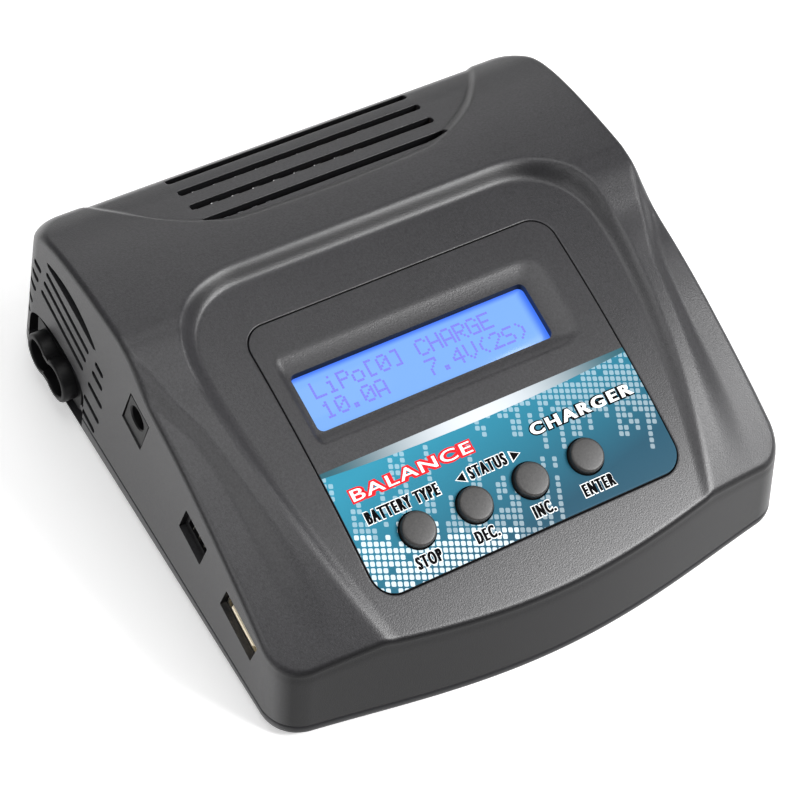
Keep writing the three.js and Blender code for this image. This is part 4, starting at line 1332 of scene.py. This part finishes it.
def make_balance_sockets():
    """One white socket for each number of cells, with a pin more than cells and two notches."""
    at = SOCKET_ROW_START
    back, face = SOCKET_BACK_X, SOCKET_FACE_X
    for cells in CELL_COUNTS:
        width = PIN_PITCH * cells + SOCKET_ENDS
        middle = at + width / 2
        at += width + SOCKET_SPACING
        size = (middle, SOCKET_DEPTH, width, SOCKET_HEIGHT)
        shell = [(back, 0.0), (face - 0.25, 0.0), (face, 0.2)]
        socket = new_object("balance_socket", *slope_block(*size, shell), None)
        cavity = [(back + 1.2, 0.8), (face - 0.3, 0.8), (face + 0.1, 0.45), (face + 1, 0.45)]
        boolean(socket, [slope_block(*size, cavity)])
        for side in (-1, 1):
            place = (middle + side * (width / 2 - 2.6), SOCKET_DEPTH + SOCKET_HEIGHT / 2, 1.3, 2.2)
            boolean(socket, [slope_block(*place, [(face - 5.5, 0.0), (face + 1, 0.0)], 0.1)])
        finish_mesh(socket, WHITE, 35)
        dress(socket, f"balance_socket_{cells}s")
        shape = [(back + 0.4, 0.0), (face - 2.2, 0.0), (face - 1.7, 0.18)]
        places = [middle + (k - cells / 2) * PIN_PITCH for k in range(cells + 1)]
        pins = [slope_block(place, SOCKET_DEPTH, 0.64, 0.64, shape, 0.05) for place in places]
        dress(new_object("balance_pins", *join_solids(pins), TIN))


def make_output_sockets():
    """Round 4 mm sockets with a collar outside the wall and a gilt sleeve in the bore."""
    reach = BOUNDS_BEFORE[1][0] / MM - HALF_WIDTH
    body = [
        (0, -15.8), (3.1, -15.8), (3.2, -15.6), (3.2, -4), (4.25, -4), (4.25, 0.35), (5.2, 0.35),
        (5.55, 0.6), (5.6, 1.0), (5.6, reach - 0.7), (5.45, reach - 0.25), (5.0, reach),
        (2.95, reach), (2.6, reach - 0.3), (2.55, reach - 1.2), (2.55, -12.0), (0, -12.0),
    ]
    sleeve = [
        (0, -12.6), (2.5, -12.6), (2.5, 1.6), (2.35, 1.8), (2.1, 1.7), (2.05, 1.4), (2.05, -11.8),
        (0, -11.8),
    ]
    for node, material, slot in OUTPUT_SOCKETS:
        _, y, z = middle_of(node)
        place = Matrix.Translation((HALF_WIDTH, y, z)) @ Matrix.Rotation(math.pi / 2, 4, "Y")
        dress(new_object(node + "_body", *moved(lathe(body, 56), place), material, 35), node)
        dress(new_object(node + "_sleeve", *moved(lathe(sleeve, 40), place), BRASS, 35))


make_balance_sockets()
make_output_sockets()


# ---- Feet and screws ----

def make_feet():
    profile = [
        (0, 0.12), (3.4, 0.12), (3.8, 0.0), (5.2, 0.0), (5.7, 0.12), (5.95, 0.5), (6.0, 1.0),
        (6.0, 2.5), (0, 2.5),
    ]
    for k, (x, y) in enumerate(FEET):
        foot = moved(lathe(profile, 56), Matrix.Translation((x, y, 0)))
        dress(new_object("rubber_foot", *foot, RUBBER, 30), f"foot_{k + 1}")


CROSS_LENGTH, CROSS_WIDTH = 2.9, 0.62


def make_screws():
    """Pan-head screws with a cross recess that narrows downwards into the head."""
    profile = [
        (0, 0.25), (1.2, 0.05), (2.0, 0.3), (2.6, 0.8), (2.8, 1.4), (2.8, 1.9), (1.35, 1.95),
        (1.35, 10.9), (0, 10.9),
    ]
    for k, (x, y) in enumerate(SCREWS):
        place = Matrix.Translation((x, y, BASE_Z + 0.1))
        screw = new_object("screw", *moved(lathe(profile, 40), place), None)
        for length, width in ((CROSS_LENGTH, CROSS_WIDTH), (CROSS_WIDTH, CROSS_LENGTH)):
            wide = rectangle_at(x, y, length, width, 0.15, 3, 9)
            narrow = (x, y) + (wide - (x, y)) * 0.45
            boolean(screw, [ring_solid([level(wide, BASE_Z - 0.5), level(narrow, BASE_Z + 1.5)])])
        finish_mesh(screw, TIN, 35)
        dress(screw, f"case_screw_{k + 1}")


make_feet()
make_screws()


# ---- Pieces carried over from the CAD ----

CARRIED = [
    (BOARD, "display_board key_board main_board power_board"),
    (BLACK, "buzzer fan_frame fan_rotor mains_capacitor_front mains_capacitor_rear sensor_port"),
    (BLACK, "switch_stop switch_decrease switch_increase switch_enter"),
    (COPPER, "transformer_winding charge_inductor"),
    (DARK_METAL, "display_frame"), (WHITE, "display_backlight"), (FERRITE, "transformer_core"),
    (ALUMINIUM, "heat_sink"), (TIN, "usb_shell"),
]
for material, names in CARRIED:
    for name in names.split():
        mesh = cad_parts[name].data
        mesh.materials.clear()
        mesh.materials.append(material)


# ---- Floor, lights and camera ----

FLOOR_HALF = 3.0  # metres
FLOOR_Z = -0.0001  # just under the feet, in metres


def make_floor():
    mesh = bpy.data.meshes.new("floor")
    corners = [(x * FLOOR_HALF, y * FLOOR_HALF, FLOOR_Z) for x, y in ((-1, -1), (1, -1), (1, 1), (-1, 1))]
    mesh.from_pydata(corners, [], [(0, 1, 2, 3)])
    mesh.materials.append(matt_color("pale_floor", (0.93, 0.93, 0.93), 0.9, 0.36))
    floor = bpy.data.objects.new("floor", mesh)
    bpy.context.scene.collection.objects.link(floor)


def area_light(name, at, size, power, target=(0, 0, 0.03)):
    """Soft light at a place, aimed at another, in metres and watts."""
    data = bpy.data.lights.new(name, "AREA")
    data.shape = "RECTANGLE"
    data.size, data.size_y = size
    data.energy = power
    light = bpy.data.objects.new(name, data)
    light.location = at
    light.rotation_euler = (Vector(target) - Vector(at)).to_track_quat("-Z", "Y").to_euler()
    light.visible_camera = False
    bpy.context.scene.collection.objects.link(light)


def make_world():
    world = bpy.data.worlds.new("studio")
    world.use_nodes = True
    background = world.node_tree.nodes["Background"]
    background.inputs["Color"].default_value = (1, 1, 1, 1)
    background.inputs["Strength"].default_value = 0.2
    bpy.context.scene.world = world


make_floor()
area_light("key", (0.51, -0.52, 0.68), (0.42, 0.28), 12.2)
area_light("side", (0.72, -0.20, 0.62), (0.3, 0.3), 2.6)
area_light("top", (0.0, 0.1, 1.0), (0.6, 0.6), 3.0)
area_light("back", (0.35, 0.85, 0.6), (0.6, 0.6), 1.6)
area_light("left", (-0.42, -0.12, 0.42), (0.4, 0.4), 1.1, (-0.42, -0.12, 0.0))
make_world()
bpy.context.scene.view_settings.view_transform = "Standard"

# The camera's place, and its axes in the frame.
CAMERA_AT = (-259.44, DISPLAY_Y - 293.27, DISPLAY_Z + 496.83)
CAMERA_RIGHT = (0.85033, -0.51184, 0.12230)
CAMERA_UP = (0.35264, 0.72670, 0.58954)
CAMERA_BACK = (-0.39063, -0.45818, 0.79843)


def make_camera():
    lens = bpy.data.cameras.new("photo_view")
    lens.sensor_width = 36.0
    lens.lens = 120.87
    lens.clip_start = 0.01
    camera = bpy.data.objects.new("photo_view", lens)
    axes = Matrix((CAMERA_RIGHT, CAMERA_UP, CAMERA_BACK)).transposed().to_4x4()
    axes.translation = Vector(CAMERA_AT) * MM
    camera.matrix_world = axes
    bpy.context.scene.collection.objects.link(camera)
    bpy.context.scene.camera = camera


make_camera()
